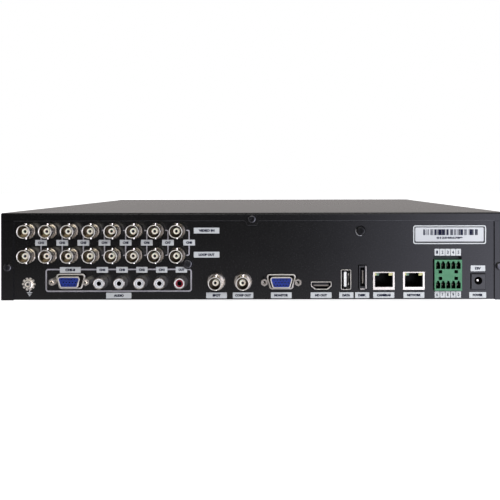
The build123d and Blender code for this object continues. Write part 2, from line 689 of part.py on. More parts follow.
def board_chips():
    """Main chip under the heatsink, memories, video and network chips."""
    chips = [(248, -80, 28, 28, 2.2), (205, -70, 11, 9, 1.1), (205, -90, 11, 9, 1.1), (290, -70, 11, 9, 1.1),
             (290, -90, 11, 9, 1.1), (70, -60, 14, 14, 1.4), (110, -60, 14, 14, 1.4), (287, -36, 9, 9, 1.0),
             (310, -36, 9, 9, 1.0), (180, -50, 8, 6, 1.6), (335, -60, 10, 7, 2.0)]
    return rear(*[block((u - a / 2, u + a / 2), (BOARD_TOP, BOARD_TOP + tall), (w - b / 2, w + b / 2))
                  for u, w, a, b, tall in chips])


def board_capacitors():
    tall, radius = 12.0, 4.0
    places = [(345, -45), (355, -45), (345, -57), (355, -57), (130, -95), (142, -95), (88, -95), (100, -95)]
    can = fillet(Cylinder(radius, tall).edges().sort_by(Axis.Z)[-1], 0.8)
    upright = Pos(0, BOARD_TOP + tall / 2, 0) * Rot(-90, 0, 0) * can
    return rear(*[Pos(u, 0, w) * upright for u, w in places])


def coin_cell():
    place, rim_height, height = (325.0, -95.0), 2.6, 3.2
    rim = post(place, 10.0, (BOARD_TOP, BOARD_TOP + rim_height))
    return rear(rim + post(place, 8.6, (BOARD_TOP, BOARD_TOP + height)))


def key_board():
    board = block((36, 366), (10, 56), (-KEY_BOARD_DEPTH - BOARD, -KEY_BOARD_DEPTH))
    for place in KEY_SCREWS:
        board -= rod(place, THREAD + HOLE_EASE, (-20, 0))
    return front(board)


# ---------------------------------------------------------------- drives


def drive_block(u):
    """Outline box of one drive."""
    return (u - DRIVE[0] / 2, u + DRIVE[0] / 2), (DRIVE_REAR_W - DRIVE[1], DRIVE_REAR_W)


def drive_screw_places():
    across, backs = 47.6, (30, 106)
    return [(u + side * across, DRIVE_REAR_W - back)
            for u in DRIVE_CENTRES for side in (-1, 1) for back in backs]


def drive_castings():
    """Cast body with a seat for its lid and four screw holes underneath."""
    lid_seat, rim = 1.0, 1.5
    top = BRACKET_TOP + DRIVE[2]
    castings = []
    for centre in DRIVE_CENTRES:
        u, w = drive_block(centre)
        casting = block(u, (BRACKET_TOP, top), w)
        casting = fillet(casting.edges().filter_by(Axis.Y), 2.0)
        casting -= block((u[0] + rim, u[1] - rim), (top - lid_seat, top + 1), (w[0] + rim, w[1] - rim))
        castings.append(casting)
    holes = [post(place, THREAD + HOLE_EASE, (0, BRACKET_TOP + 5)) for place in drive_screw_places()]
    return rear(*[casting - holes for casting in castings])


def drive_lids():
    """Pressed lid with a raised round over the platters."""
    lids = []
    rim, top = 1.5, BRACKET_TOP + DRIVE[2]
    for centre in DRIVE_CENTRES:
        u, w = drive_block(centre)
        lid = block((u[0] + rim, u[1] - rim), (top - 1.0, top), (w[0] + rim, w[1] - rim))
        lids.append(lid + post((centre, w[0] + 52), 44.0, (top, top + 0.6)))
    return rear(*lids)


def drive_bracket():
    """Raised plate on two folded legs, under both drives."""
    low, high = 70.0, 310.0
    length = (DRIVE_REAR_W - DRIVE[1] - 2, DRIVE_REAR_W + 2)
    thick, foot = 1.2, 11.0
    bracket = block((low, high), (BRACKET_TOP - thick, BRACKET_TOP), length)
    for edge, way in ((low, -1), (high, 1)):
        bracket += block(sorted((edge, edge - way * thick)), (SHEET, BRACKET_TOP), length)
        bracket += block(sorted((edge, edge + way * foot)), (SHEET, SHEET + thick), length)
    for place in drive_screw_places():
        bracket -= post(place, THREAD + HOLE_EASE, (SHEET * 5, BRACKET_TOP + 1))
    return rear(bracket)


def drive_screws():
    upward = Rot(90, 0, 0) * pan_screw(3.0, 5)
    return rear(*[Pos(u, BRACKET_TOP - 1.2, w) * upward for u, w in drive_screw_places()])


def ribbon(points, radius, thick, u):
    """Flat cable along a route in (w, v), with round turns."""
    return side_prism(trace(FilletPolyline(*points, radius=radius), thick), u)


def drive_cables():
    """One flat cable for each drive, with its two plugs."""
    board_plug_top, drive_plug_v, half = BOARD_TOP + 8, BRACKET_TOP + 4, 7.0
    start, end = -121.0, DRIVE_REAR_W + 8
    pieces = []
    for centre in DRIVE_CENTRES:
        u = (centre - half, centre + half)
        pieces.append(block(u, (BOARD_TOP, board_plug_top), (start - 3, start + 3)))
        pieces.append(block(u, (drive_plug_v - 3, drive_plug_v + 3), (DRIVE_REAR_W, end)))
        route = [(start, board_plug_top), (start, 25), (start - 15, 25), (start - 15, drive_plug_v),
                 (end, drive_plug_v)]
        pieces.append(ribbon(route, 3.0, 1.2, (centre - 5, centre + 5)))
    return rear(*pieces)


def key_ribbon():
    """Flat cable under the drives' side, from the main board to the key board."""
    u, thick = (326.0, 342.0), 0.6
    floor, exit_v, rise = SHEET + 0.6, BOARD_TOP + 3, 29.0
    back, plug_end = -BOARD_DEPTH, BEZEL_FACE_W + KEY_BOARD_DEPTH + BOARD
    route = [(back, exit_v), (back - 12, exit_v), (back - 20, floor), (TRAY_FRONT_W + 9, floor),
             (TRAY_FRONT_W + 9, rise), (plug_end + 4, rise)]
    board_plug = block(u, (BOARD_TOP, BOARD_TOP + 6), (back, back + 6))
    key_plug = block(u, (rise - 3, rise + 3), (plug_end, plug_end + 4))
    return rear(board_plug, key_plug, ribbon(route, 3.0, thick, (u[0] + 1, u[1] - 1)))


# ---------------------------------------------------------------- fan


def on_fan(shape):
    """From a fan drawn along w, to its place against the tray's side."""
    return rear(Pos(2 * SHEET + SLIDE_GAP, FAN_V, FAN_W) * Rot(0, 90, 0) * shape)


def fan_frame():
    """Square frame, motor seat on four struts, and the bearing tube."""
    seat, bearing = 3.0, 3.5
    frame = block((-FAN_SIZE / 2, FAN_SIZE / 2), (-FAN_SIZE / 2, FAN_SIZE / 2), (0, FAN_DEPTH))
    frame = fillet(frame.edges().filter_by(Axis.Z), 2.5)
    frame -= rod((0, 0), FAN_DUCT, (-1, FAN_DEPTH + 1))
    strut = block((-FAN_DUCT - 0.5, FAN_DUCT + 0.5), (-1.2, 1.2), (0, 2.2))
    frame += Rot(0, 0, 45) * strut + Rot(0, 0, -45) * strut
    frame += rod((0, 0), FAN_HUB - 0.5, (0, seat)) + rod((0, 0), 9.5, (0, 9)) + rod((0, 0), bearing, (0, 11))
    frame -= rod((0, 0), FAN_SHAFT + HOLE_EASE, (1, FAN_DEPTH))
    for x in (-20.0, 20.0):
        for y in (-20.0, 20.0):
            frame -= rod((x, y), 2.15, (-1, FAN_DEPTH + 1))
    return on_fan(frame)


def fan_rotor():
    """Hub cup, shaft and pitched blades."""
    low, high, wall, pitch_angle = 3.5, 12.5, 1.2, 38.0
    blade = Rot(pitch_angle, 0, 0) * Box(2 * FAN_TIP, 1.2, 12)
    blade &= Pos(FAN_TIP / 2 + FAN_HUB / 2, 0, 0) * Box(FAN_TIP - FAN_HUB + 8, 30, high - low - 0.4)
    blade = Pos(0, 0, (low + high) / 2) * blade
    rotor = rod((0, 0), FAN_HUB, (low, high))
    for i in range(FAN_BLADES):
        rotor += Rot(0, 0, 360 / FAN_BLADES * i) * blade
    rotor &= rod((0, 0), FAN_TIP, (low, high))
    rotor -= rod((0, 0), FAN_HUB - wall, (low - 1, high - wall))
    return on_fan(rotor + rod((0, 0), FAN_SHAFT, (2.0, high)))


# ---------------------------------------------------------------- front


def bar_outline(width, height, grow=0.0):
    return RectangleRounded(width + 2 * grow, height + 2 * grow, 1.8 + grow)


def button_outline(name, grow=0.0):
    """Outline of a button's cap, at its place on the bezel."""
    if name in ROUND_BUTTONS:
        return Pos(*ROUND_BUTTONS[name]) * Circle(ROUND_BUTTON_RADIUS + grow)
    p, q, width, height = BAR_BUTTONS[name]
    return Pos(p, q) * bar_outline(width, height, grow)


def button_place(name):
    return (ROUND_BUTTONS.get(name) or BAR_BUTTONS[name])[:2]


def front_bezel():
    """Moulded bezel, open at the back, with posts for the key board."""
    face = block((0, WIDTH), (0, HEIGHT), (-BEZEL_DEPTH, 0))
    face = fillet(face.faces().sort_by(Axis.Z)[-1].edges(), 2.2)
    bezel = face - block((BEZEL_WALL, WIDTH - BEZEL_WALL), (BEZEL_WALL, HEIGHT - BEZEL_WALL),
                         (-BEZEL_DEPTH - 1, -BEZEL_WALL))
    for name in BUTTONS:
        bezel -= prism(button_outline(name, BUTTON_GAP), (-5, 1))
    (left, right), (low, high) = WINDOW
    ledge = 2.0
    bezel -= block((left, right), (low, high), (-ledge, 1))
    bezel -= block((left + ledge, right - ledge), (low + ledge, high - ledge), (-5, 1))
    bezel -= Pos(*FRONT_USB, 0) * block((-7.8, 7.8), (-4.0, 4.0), (-5, 1))
    for place in KEY_SCREWS:
        bezel += rod(place, 3.0, (-KEY_BOARD_DEPTH, -BEZEL_WALL))
        bezel -= rod(place, THREAD + HOLE_EASE, (-KEY_BOARD_DEPTH - 1, -BEZEL_WALL - 0.5))
    for middle in BEZEL_CLIPS:
        for clip_low in (BEZEL_WALL, HEIGHT - BEZEL_WALL - 2):
            bezel += block((middle - 7, middle + 7), (clip_low, clip_low + 2),
                           (-BEZEL_DEPTH - 6, -BEZEL_WALL))
    return front(bezel)


def ir_window():
    """Smoked window over the remote control's receiver and the status lights."""
    (left, right), (low, high) = WINDOW
    ease = 0.1
    return front(block((left + ease, right - ease), (low + ease, high - ease), (-2, 0)))


def button(name):
    """Cap through the bezel, flange behind it and a stem towards the switch."""
    flange = (-BEZEL_WALL - 2.0, -BEZEL_WALL - BUTTON_GAP)
    cap = prism(button_outline(name), (flange[0], BUTTON_PROUD))
    cap = fillet(cap.faces().sort_by(Axis.Z)[-1].edges(), 0.5)
    cap += prism(button_outline(name, 1.0), flange)
    return front(cap + rod(button_place(name), 1.6, (STEM_END, flange[0])))


def key_switches():
    """One tactile switch on the key board behind each button."""
    plunger = STEM_END - SWITCH_GAP
    switches = []
    for name in BUTTONS:
        p, q = button_place(name)
        switch = block((p - 3, p + 3), (q - 3, q + 3), (-KEY_BOARD_DEPTH, plunger - 0.6))
        switches.append(switch + rod((p, q), 1.5, (plunger - 0.6, plunger)))
    return front(*switches)


# ---------------------------------------------------------------- nodes

NODES = {
    "base_tray": base_tray(),
    "rear_panel": rear_panel(),
    "top_cover": top_cover(),
    "front_bezel": front_bezel(),
    "rubber_feet": rubber_feet(),
    "serial_label": serial_label(),
    "panel_screws": panel_screws(),
    "board_screws": board_screws(),
    "earth_screw": earth_screw(),
    "earth_washer": earth_washer(),
    "main_board": main_board(),
    "video_board": video_board(),
    "key_board": key_board(),
    "heatsink": heatsink(),
    "board_chips": board_chips(),
    "board_capacitors": board_capacitors(),
    "coin_cell": coin_cell(),
    "video_in_bnc_shells": bnc_row(BNC_IN_V),
    "loop_out_bnc_shells": bnc_row(BNC_LOOP_V),
    "monitor_bnc_shells": monitor_bnc_shells(),
    "bnc_insulators": bnc_insulators(),
    "bnc_contacts": bnc_contacts(),
    "phono_housing": phono_housing(),
    "phono_sleeves": phono_sleeves(),
    "phono_inserts_white": rear(*at(phono_places()[:-1], phono_insert())),
    "phono_insert_red": rear(*at(phono_places()[-1:], phono_insert())),
    "dsub_shells": dsub_shells(),
    "dsub_inserts": dsub_inserts(),
    "dsub_jackscrews": dsub_jackscrews(),
    "hd_port_shell": hd_port_shell(),
    "hd_port_tongue": hd_port_tongue(),
    "usb_port_shells": usb_ports(usb_shell()),
    "usb_port_tongues": usb_ports(usb_tongue()),
    "disk_port_shell": disk_port_shell(),
    "disk_port_tongue": disk_port_tongue(),
    "lan_shields": lan_shields(),
    "lan_housings": lan_housings(),
    "lan_contacts": lan_contacts(),
    "lan_lamps": lan_lamps(),
    "terminal_header": terminal_header(),
    "terminal_pins": terminal_pins(),
    "dc_jack_housing": dc_jack_housing(),
    "dc_jack_pin": dc_jack_pin(),
    "drive_bracket": drive_bracket(),
    "drive_castings": drive_castings(),
    "drive_lids": drive_lids(),
    "drive_screws": drive_screws(),
    "drive_cables": drive_cables(),
    "fan_frame": fan_frame(),
    "fan_rotor": fan_rotor(),
    "key_ribbon": key_ribbon(),
    "key_switches": key_switches(),
    "ir_window": ir_window(),
    **{name: button(name) for name in BUTTONS},
}

os.makedirs("parts", exist_ok=True)
for node, shape in NODES.items():
    export_step(shape, f"parts/{node}.step")
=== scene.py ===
import json
import math

import bmesh
import bpy
from mathutils import Matrix, Vector


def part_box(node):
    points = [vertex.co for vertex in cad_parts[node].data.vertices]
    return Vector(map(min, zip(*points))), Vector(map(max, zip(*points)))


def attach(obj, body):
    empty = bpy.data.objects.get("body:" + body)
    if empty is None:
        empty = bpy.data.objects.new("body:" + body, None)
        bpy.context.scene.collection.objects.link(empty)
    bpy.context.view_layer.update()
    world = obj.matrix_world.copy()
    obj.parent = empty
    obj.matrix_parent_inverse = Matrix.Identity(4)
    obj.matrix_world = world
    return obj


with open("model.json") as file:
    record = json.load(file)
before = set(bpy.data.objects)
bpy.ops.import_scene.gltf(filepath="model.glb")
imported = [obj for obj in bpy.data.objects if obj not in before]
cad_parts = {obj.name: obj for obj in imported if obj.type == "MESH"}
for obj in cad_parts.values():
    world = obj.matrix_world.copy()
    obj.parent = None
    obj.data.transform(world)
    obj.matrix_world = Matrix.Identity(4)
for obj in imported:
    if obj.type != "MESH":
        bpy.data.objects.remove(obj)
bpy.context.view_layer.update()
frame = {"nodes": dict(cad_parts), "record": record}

# Video recorder seen from behind. Shapes are drawn in millimetres, in panel coordinates
# (u from the panel's left edge, v up from the tray, w out of the panel) or in the same
# way on the front bezel, and placed in the frame in metres.

MM = 0.001
COVER_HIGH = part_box("top_cover")[1]
PANEL_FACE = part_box("rear_panel")[1].y
BEZEL_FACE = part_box("front_bezel")[0].y
TRAY_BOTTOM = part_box("base_tray")[0].z
SIDE = COVER_HIGH.x

PANEL = Matrix(((-MM, 0, 0, SIDE), (0, 0, MM, PANEL_FACE), (0, MM, 0, TRAY_BOTTOM), (0, 0, 0, 1)))
BEZEL = Matrix(((MM, 0, 0, -SIDE), (0, 0, -MM, BEZEL_FACE), (0, MM, 0, TRAY_BOTTOM), (0, 0, 0, 1)))

INK = 0.02  # thickness of one printed layer
CHANNELS = 8
TERMINAL_U = 335.3
DSUB_V, DSUB_HALF, JACKSCREW = (14.1, 13.6), 15.4, 12.5
PANEL_SCREW, DISHED_SCREW = (140.3, 26.9), (270.0, 51.5)
USB_PORT, HD_PORT = (258.9, 14.95), (240.4, 10.4)

# Light of the room, by direction: an axis, where along it the light starts and is full, the
# strength there and its colour. All but the wall beyond the recorder is behind the camera.
BEYOND = ("Y", (0.0, -0.3), 0.565, (1.0, 0.945, 0.925))
ROOM = {
    "right": ("X", (-0.09, -0.5), 3.9, (0.92, 0.93, 1.12)),
    "low": ("Z", (-0.12, -0.26), 0.95, (0.97, 0.93, 1.0)),
    "dim": ("Y", (0.0, 0.3), 0.02, (1.0, 1.0, 1.0)),
}
ROOM_CEILING = (0.1, 0.35)  # heights of direction between which the room fades to a quarter
ROOM_ON_MATT = 0.45  # share of the room's light that matt surfaces get; the lamps do the rest
# Lamps: place from the middle of the rear panel's foot, width and height, radiance and colour
LAMPS = {
    "low_right": ((-0.45, 0.25, 0.2), (0.3, 0.3), 10.0, (0.95, 0.98, 1.0)),
    "front": ((0.05, 1.0, 0.52), (0.9, 0.3), 5.8, (1.0, 0.98, 0.94)),
    "left": ((1.1, 0.25, 0.35), (0.5, 0.7), 2.2, (1.0, 0.98, 0.96)),
}
MATT_ONLY = ("low_right",)  # lamps that would glare on the cover's top


# ---------------------------------------------------------------- view and light


def add_camera():
    """Camera a little above the recorder's top and nearly square to its back."""
    lens, sensor = 41.044, 36.0
    distance, sideways, height = 0.4271, -0.01782, 0.09266
    turn, roll = math.radians(0.0069), math.radians(0.0928)
    data = bpy.data.cameras.new("camera")
    data.lens, data.sensor_width = lens, sensor
    data.shift_x, data.shift_y = -0.0554, -0.1346
    data.clip_start, data.clip_end = 0.01, 50
    camera = bpy.data.objects.new("camera", data)
    facing = Matrix.Rotation(math.pi - turn, 4, "Z") @ Matrix.Rotation(math.pi / 2, 4, "X")
    camera.matrix_world = (Matrix.Translation((sideways, COVER_HIGH.y + distance, height))
                           @ facing @ Matrix.Rotation(-roll, 4, "Z"))
    bpy.context.scene.collection.objects.link(camera)
    bpy.context.scene.camera = camera


def add_softbox(name, place, aim, size, radiance, colour):
    """Soft rectangular lamp that only lights the object."""
    data = bpy.data.lights.new(name, "AREA")
    data.shape, data.size, data.size_y = "RECTANGLE", *size
    data.energy = radiance * math.pi * size[0] * size[1]
    data.color = colour
    lamp = bpy.data.objects.new(name, data)
    lamp.location = place
    lamp.rotation_mode = "QUATERNION"
    lamp.rotation_quaternion = (Vector(aim) - Vector(place)).to_track_quat("-Z", "Y")
    lamp.visible_camera = False
    lamp.visible_glossy = name not in MATT_ONLY
    bpy.context.scene.collection.objects.link(lamp)


def add_world():
    """White surround for the camera; for lighting, a pale wall beyond the recorder and, behind
    the camera, a dim room with a light right side and a light table."""
    world = bpy.data.worlds.new("studio")
    bpy.context.scene.world = world
    world.use_nodes = True
    nodes, links = world.node_tree.nodes, world.node_tree.links
    nodes.clear()
    place, axes = nodes.new("ShaderNodeTexCoord"), nodes.new("ShaderNodeSeparateXYZ")
    links.new(place.outputs["Generated"], axes.inputs[0])

    def ramp(axis, span, strength):
        """Strength that grows from nought over a span of one direction."""
        node = nodes.new("ShaderNodeMapRange")
        node.inputs["From Min"].default_value, node.inputs["From Max"].default_value = span
        node.inputs["To Min"].default_value, node.inputs["To Max"].default_value = 0, strength
        links.new(axes.outputs[axis], node.inputs["Value"])
        return node.outputs["Result"]

    def light(colour, *factors):
        """Background whose strength is the product of its factors."""
        glow = nodes.new("ShaderNodeBackground")
        glow.inputs["Color"].default_value = (*colour, 1)
        product = factors[0]
        for factor in factors[1:]:
            times = nodes.new("ShaderNodeMath")
            times.operation = "MULTIPLY"
            links.new(product, times.inputs[0])
            links.new(factor, times.inputs[1])
            product = times.outputs[0]
        links.new(product, glow.inputs["Strength"])
        return glow.outputs[0]

    path, share = nodes.new("ShaderNodeLightPath"), nodes.new("ShaderNodeMapRange")
    share.inputs["To Min"].default_value, share.inputs["To Max"].default_value = 1, ROOM_ON_MATT
    links.new(path.outputs["Is Diffuse Ray"], share.inputs["Value"])
    axis, span, strength, colour = BEYOND
    total = light(colour, ramp(axis, span, strength))
    fade = nodes.new("ShaderNodeMapRange")
    fade.inputs["From Min"].default_value, fade.inputs["From Max"].default_value = ROOM_CEILING
    fade.inputs["To Min"].default_value, fade.inputs["To Max"].default_value = 1, 0.25
    links.new(axes.outputs["Z"], fade.inputs["Value"])
    for axis, span, strength, colour in ROOM.values():
        both = nodes.new("ShaderNodeAddShader")
        links.new(total, both.inputs[0])
        glow = light(colour, ramp(axis, span, strength), ramp("Y", (0.0, 0.3), 1), share.outputs["Result"],
                     fade.outputs["Result"])
        links.new(glow, both.inputs[1])
        total = both.outputs[0]
    paper = nodes.new("ShaderNodeBackground")
    paper.inputs["Color"].default_value = (1, 1, 1, 1)
    mix = nodes.new("ShaderNodeMixShader")
    links.new(path.outputs["Is Camera Ray"], mix.inputs["Fac"])
    links.new(total, mix.inputs[1])
    links.new(paper.outputs[0], mix.inputs[2])
    links.new(mix.outputs[0], nodes.new("ShaderNodeOutputWorld").inputs["Surface"])


def add_floor():
    """Plain pale floor that glows faintly, so that it stays near white beside the object."""
    half = 4.0
    bm = bmesh.new()
    bmesh.ops.create_grid(bm, x_segments=4, y_segments=4, size=half)
    mesh = bpy.data.meshes.new("floor")
    bm.to_mesh(mesh)
    bm.free()
    surface = new_material("pale_floor", (0.9, 0.9, 0.9), (0.86, 0.86, 0.86), 3, (0.8, 0.9),
                           (40, 0.02, 0.001))
    shader = surface.node_tree.nodes["Principled BSDF"]
    shader.inputs["Emission Color"].default_value = (1, 1, 1, 1)
    shader.inputs["Emission Strength"].default_value = 0.97
    mesh.materials.append(surface)
    floor = bpy.data.objects.new("floor", mesh)
    floor.visible_glossy = floor.visible_diffuse = False
    bpy.context.scene.collection.objects.link(floor)


def add_studio():
    add_world()
    add_floor()
    foot = Vector((0, PANEL_FACE, 0))
    for name, (place, size, radiance, colour) in LAMPS.items():
        add_softbox(name, foot + Vector(place), foot, size, radiance, colour)
    bpy.context.scene.view_settings.view_transform = "Standard"


# ---------------------------------------------------------------- materials


def new_material(name, colour, other, patches, roughness, bump, metallic=0.0, stretch=(1, 1, 1), **sockets):
    """Surface whose colour drifts between two shades, with uneven roughness and a fine relief.

    patches is the scale of the drift, roughness its lowest and highest, bump the relief's
    scale, strength and depth; all scales are per metre.
    """
    made = bpy.data.materials.new(name)
    made.use_nodes = True
    tree = made.node_tree
    nodes, links = tree.nodes, tree.links
    shader = nodes["Principled BSDF"]
    shader.inputs["Metallic"].default_value = metallic
    for socket, value in sockets.items():
        shader.inputs[socket.replace("_", " ")].default_value = value
    place, mapping = nodes.new("ShaderNodeTexCoord"), nodes.new("ShaderNodeMapping")
    mapping.inputs["Scale"].default_value = stretch
    links.new(place.outputs["Object"], mapping.inputs["Vector"])

    def noise(scale, detail):
        node = nodes.new("ShaderNodeTexNoise")
        node.inputs["Scale"].default_value = scale
        node.inputs["Detail"].default_value = detail
        links.new(mapping.outputs["Vector"], node.inputs["Vector"])
        return node.outputs["Fac"]

    drift, grain = noise(patches, 5), noise(bump[0], 3)
    ramp = nodes.new("ShaderNodeValToRGB")
    ramp.color_ramp.elements[0].position, ramp.color_ramp.elements[1].position = 0.35, 0.65
    ramp.color_ramp.elements[0].color, ramp.color_ramp.elements[1].color = (*colour, 1), (*other, 1)
    links.new(drift, ramp.inputs["Fac"])
    links.new(ramp.outputs["Color"], shader.inputs["Base Color"])
    shine = nodes.new("ShaderNodeMapRange")
    shine.inputs["From Min"].default_value, shine.inputs["From Max"].default_value = 0.3, 0.7
    shine.inputs["To Min"].default_value, shine.inputs["To Max"].default_value = roughness
    links.new(grain, shine.inputs["Value"])
    links.new(shine.outputs["Result"], shader.inputs["Roughness"])
    relief = nodes.new("ShaderNodeBump")
    relief.inputs["Strength"].default_value, relief.inputs["Distance"].default_value = bump[1:]
    links.new(grain, relief.inputs["Height"])
    links.new(relief.outputs["Normal"], shader.inputs["Normal"])
    return made


PAINT = (1800, 0.25, 0.00005)
MOULDED = (1500, 0.15, 0.00004)
POLISHED = (900, 0.06, 0.00002)
FINISHES = {
    "black_steel": dict(colour=(0.0020, 0.0020, 0.0020), other=(0.0030, 0.0030, 0.0030), patches=60,
                        roughness=(0.22, 0.28), bump=PAINT, Specular_IOR_Level=0.42),
    "bezel_plastic": dict(colour=(0.013, 0.013, 0.014), other=(0.017, 0.017, 0.018), patches=80,
                          roughness=(0.38, 0.5), bump=(2600, 0.3, 0.00006)),
    "foot_rubber": dict(colour=(0.014, 0.014, 0.014), other=(0.022, 0.022, 0.022), patches=120,
                        roughness=(0.7, 0.85), bump=(1200, 0.4, 0.0001)),
    "label_film": dict(colour=(0.44, 0.45, 0.465), other=(0.475, 0.485, 0.5), patches=40,
                       roughness=(0.4, 0.5), bump=(700, 0.04, 0.00002)),
    "black_screws": dict(colour=(0.05, 0.05, 0.055), other=(0.09, 0.09, 0.095), patches=400,
                         roughness=(0.16, 0.26), bump=POLISHED, metallic=0.9),
    "zinc_steel": dict(colour=(0.72, 0.68, 0.6), other=(0.84, 0.8, 0.72), patches=500,
                       roughness=(0.34, 0.5), bump=POLISHED, metallic=1.0),
    "board_laminate": dict(colour=(0.01, 0.09, 0.03), other=(0.02, 0.15, 0.05), patches=350,
                           roughness=(0.25, 0.35), bump=(900, 0.3, 0.00008)),
    "heatsink_aluminium": dict(colour=(0.3, 0.31, 0.33), other=(0.36, 0.37, 0.39), patches=200,
                               roughness=(0.35, 0.5), bump=POLISHED, metallic=1.0, stretch=(1, 8, 1)),
    "chip_black": dict(colour=(0.02, 0.02, 0.021), other=(0.03, 0.03, 0.03), patches=300,
                       roughness=(0.5, 0.62), bump=MOULDED),
    "capacitor_sleeve": dict(colour=(0.02, 0.025, 0.05), other=(0.03, 0.04, 0.08), patches=200,
                             roughness=(0.3, 0.4), bump=POLISHED),
    "cell_steel": dict(colour=(0.6, 0.59, 0.57), other=(0.7, 0.69, 0.67), patches=300,
                       roughness=(0.18, 0.3), bump=POLISHED, metallic=1.0),
    "nickel_plate": dict(colour=(0.78, 0.73, 0.65), other=(0.86, 0.82, 0.75), patches=420,
                         roughness=(0.1, 0.2), bump=POLISHED, metallic=1.0),
    "tin_plate": dict(colour=(0.76, 0.71, 0.62), other=(0.82, 0.78, 0.69), patches=300,
                      roughness=(0.2, 0.34), bump=POLISHED, metallic=1.0),
    # insulator_cream carries a painted glow: the insulators give off a faint light of their own, though they
    # are no lamp
    "insulator_cream": dict(colour=(0.93, 0.87, 0.74), other=(0.96, 0.91, 0.79), patches=500,
                            roughness=(0.4, 0.5), bump=MOULDED, Subsurface_Weight=0.1,
                            Subsurface_Scale=0.001, Emission_Color=(1, 0.93, 0.82, 1),
                            Emission_Strength=0.2),
    "contact_brass": dict(colour=(0.75, 0.52, 0.2), other=(0.84, 0.62, 0.28), patches=500,
                          roughness=(0.2, 0.32), bump=POLISHED, metallic=1.0),
    "connector_black": dict(colour=(0.012, 0.012, 0.013), other=(0.018, 0.018, 0.02), patches=200,
                            roughness=(0.32, 0.45), bump=MOULDED),
    "phono_white": dict(colour=(0.7, 0.705, 0.705), other=(0.75, 0.755, 0.755), patches=400,
                        roughness=(0.3, 0.4), bump=MOULDED),
    "phono_red": dict(colour=(0.17, 0.004, 0.014), other=(0.23, 0.006, 0.02), patches=400,
                      roughness=(0.3, 0.4), bump=MOULDED),
    "dsub_blue": dict(colour=(0.004, 0.02, 0.17), other=(0.006, 0.026, 0.22), patches=300,
                      roughness=(0.35, 0.45), bump=MOULDED),
    "tongue_white": dict(colour=(0.8, 0.8, 0.78), other=(0.86, 0.86, 0.84), patches=400,
                         roughness=(0.3, 0.4), bump=MOULDED),
    "lamp_lens": dict(colour=(0.38, 0.38, 0.17), other=(0.5, 0.46, 0.22), patches=260,
                      roughness=(0.15, 0.25), bump=POLISHED),
    "terminal_green": dict(colour=(0.043, 0.16, 0.075), other=(0.054, 0.185, 0.092), patches=250,
                           roughness=(0.36, 0.48), bump=MOULDED),
    "galvanised_steel": dict(colour=(0.42, 0.44, 0.45), other=(0.56, 0.58, 0.6), patches=140,
                             roughness=(0.3, 0.45), bump=POLISHED, metallic=1.0),
    "drive_casting": dict(colour=(0.3, 0.3, 0.31), other=(0.36, 0.36, 0.37), patches=200,
                          roughness=(0.4, 0.55), bump=(1400, 0.3, 0.00008), metallic=0.9),
    "drive_lid": dict(colour=(0.6, 0.6, 0.6), other=(0.68, 0.68, 0.68), patches=120,
                      roughness=(0.2, 0.36), bump=POLISHED, metallic=1.0, stretch=(1, 20, 1)),
    "cable_red": dict(colour=(0.3, 0.012, 0.012), other=(0.38, 0.02, 0.02), patches=200,
                      roughness=(0.35, 0.45), bump=MOULDED),
    "fan_black": dict(colour=(0.015, 0.015, 0.015), other=(0.02, 0.02, 0.02), patches=200,
                      roughness=(0.4, 0.52), bump=MOULDED),
    "ribbon_white": dict(colour=(0.66, 0.66, 0.63), other=(0.72, 0.72, 0.69), patches=200,
                         roughness=(0.35, 0.45), bump=(900, 0.3, 0.0001), stretch=(6, 0.1, 0.1)),
    "smoked_window": dict(colour=(0.012, 0.006, 0.008), other=(0.016, 0.008, 0.011), patches=60,
                          roughness=(0.05, 0.1), bump=(300, 0.01, 0.00001), Coat_Weight=0.3),
    "button_plastic": dict(colour=(0.035, 0.035, 0.038), other=(0.045, 0.045, 0.048), patches=300,
                           roughness=(0.28, 0.38), bump=MOULDED),
}


def centres(node, count=1):
    """Places across and up, in metres, of connectors that share a node and stand in a row."""
    low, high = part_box(node)
    half = (high.z - low.z) / 2
    step = (high.x - low.x - 2 * half) / max(count - 1, 1)
    return [(low.x + half + step * i, (low.z + high.z) / 2) for i in range(count)]


def dsub_centres():
    """Places across and up of both D-sub connectors."""
    low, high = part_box("dsub_shells")
    across = (high.x - DSUB_HALF * MM, low.x + DSUB_HALF * MM)
    return [(x, TRAY_BOTTOM + v * MM) for x, v in zip(across, DSUB_V)]


def inside_bores(tree, axes, radius):
    """Mask of what lies within a radius of any of the axes along Y."""
    nodes, links = tree.nodes, tree.links
    place, flat = nodes.new("ShaderNodeTexCoord"), nodes.new("ShaderNodeVectorMath")
    flat.operation = "MULTIPLY"
    flat.inputs[1].default_value = (1, 0, 1)
    links.new(place.outputs["Object"], flat.inputs[0])
    nearest = None
    for x, z in axes:
        far = nodes.new("ShaderNodeVectorMath")
        far.operation = "DISTANCE"
        far.inputs[1].default_value = (x, 0, z)
        links.new(flat.outputs[0], far.inputs[0])
        if nearest is None:
            nearest = far.outputs["Value"]
            continue
        least = nodes.new("ShaderNodeMath")
        least.operation = "MINIMUM"
        links.new(nearest, least.inputs[0])
        links.new(far.outputs["Value"], least.inputs[1])
        nearest = least.outputs[0]
    return soft_step(tree, nearest, radius, 0.05 * MM)


def behind(tree, level):
    """Mask of what lies deeper in the recorder than a level along Y."""
    nodes, links = tree.nodes, tree.links
    place, axes, size = (nodes.new(f"ShaderNode{kind}") for kind in ("TexCoord", "SeparateXYZ", "Math"))
    size.operation = "ABSOLUTE"
    links.new(place.outputs["Object"], axes.inputs[0])
    links.new(axes.outputs["Y"], size.inputs[0])
    return soft_step(tree, size.outputs[0], level, 0.1 * MM)


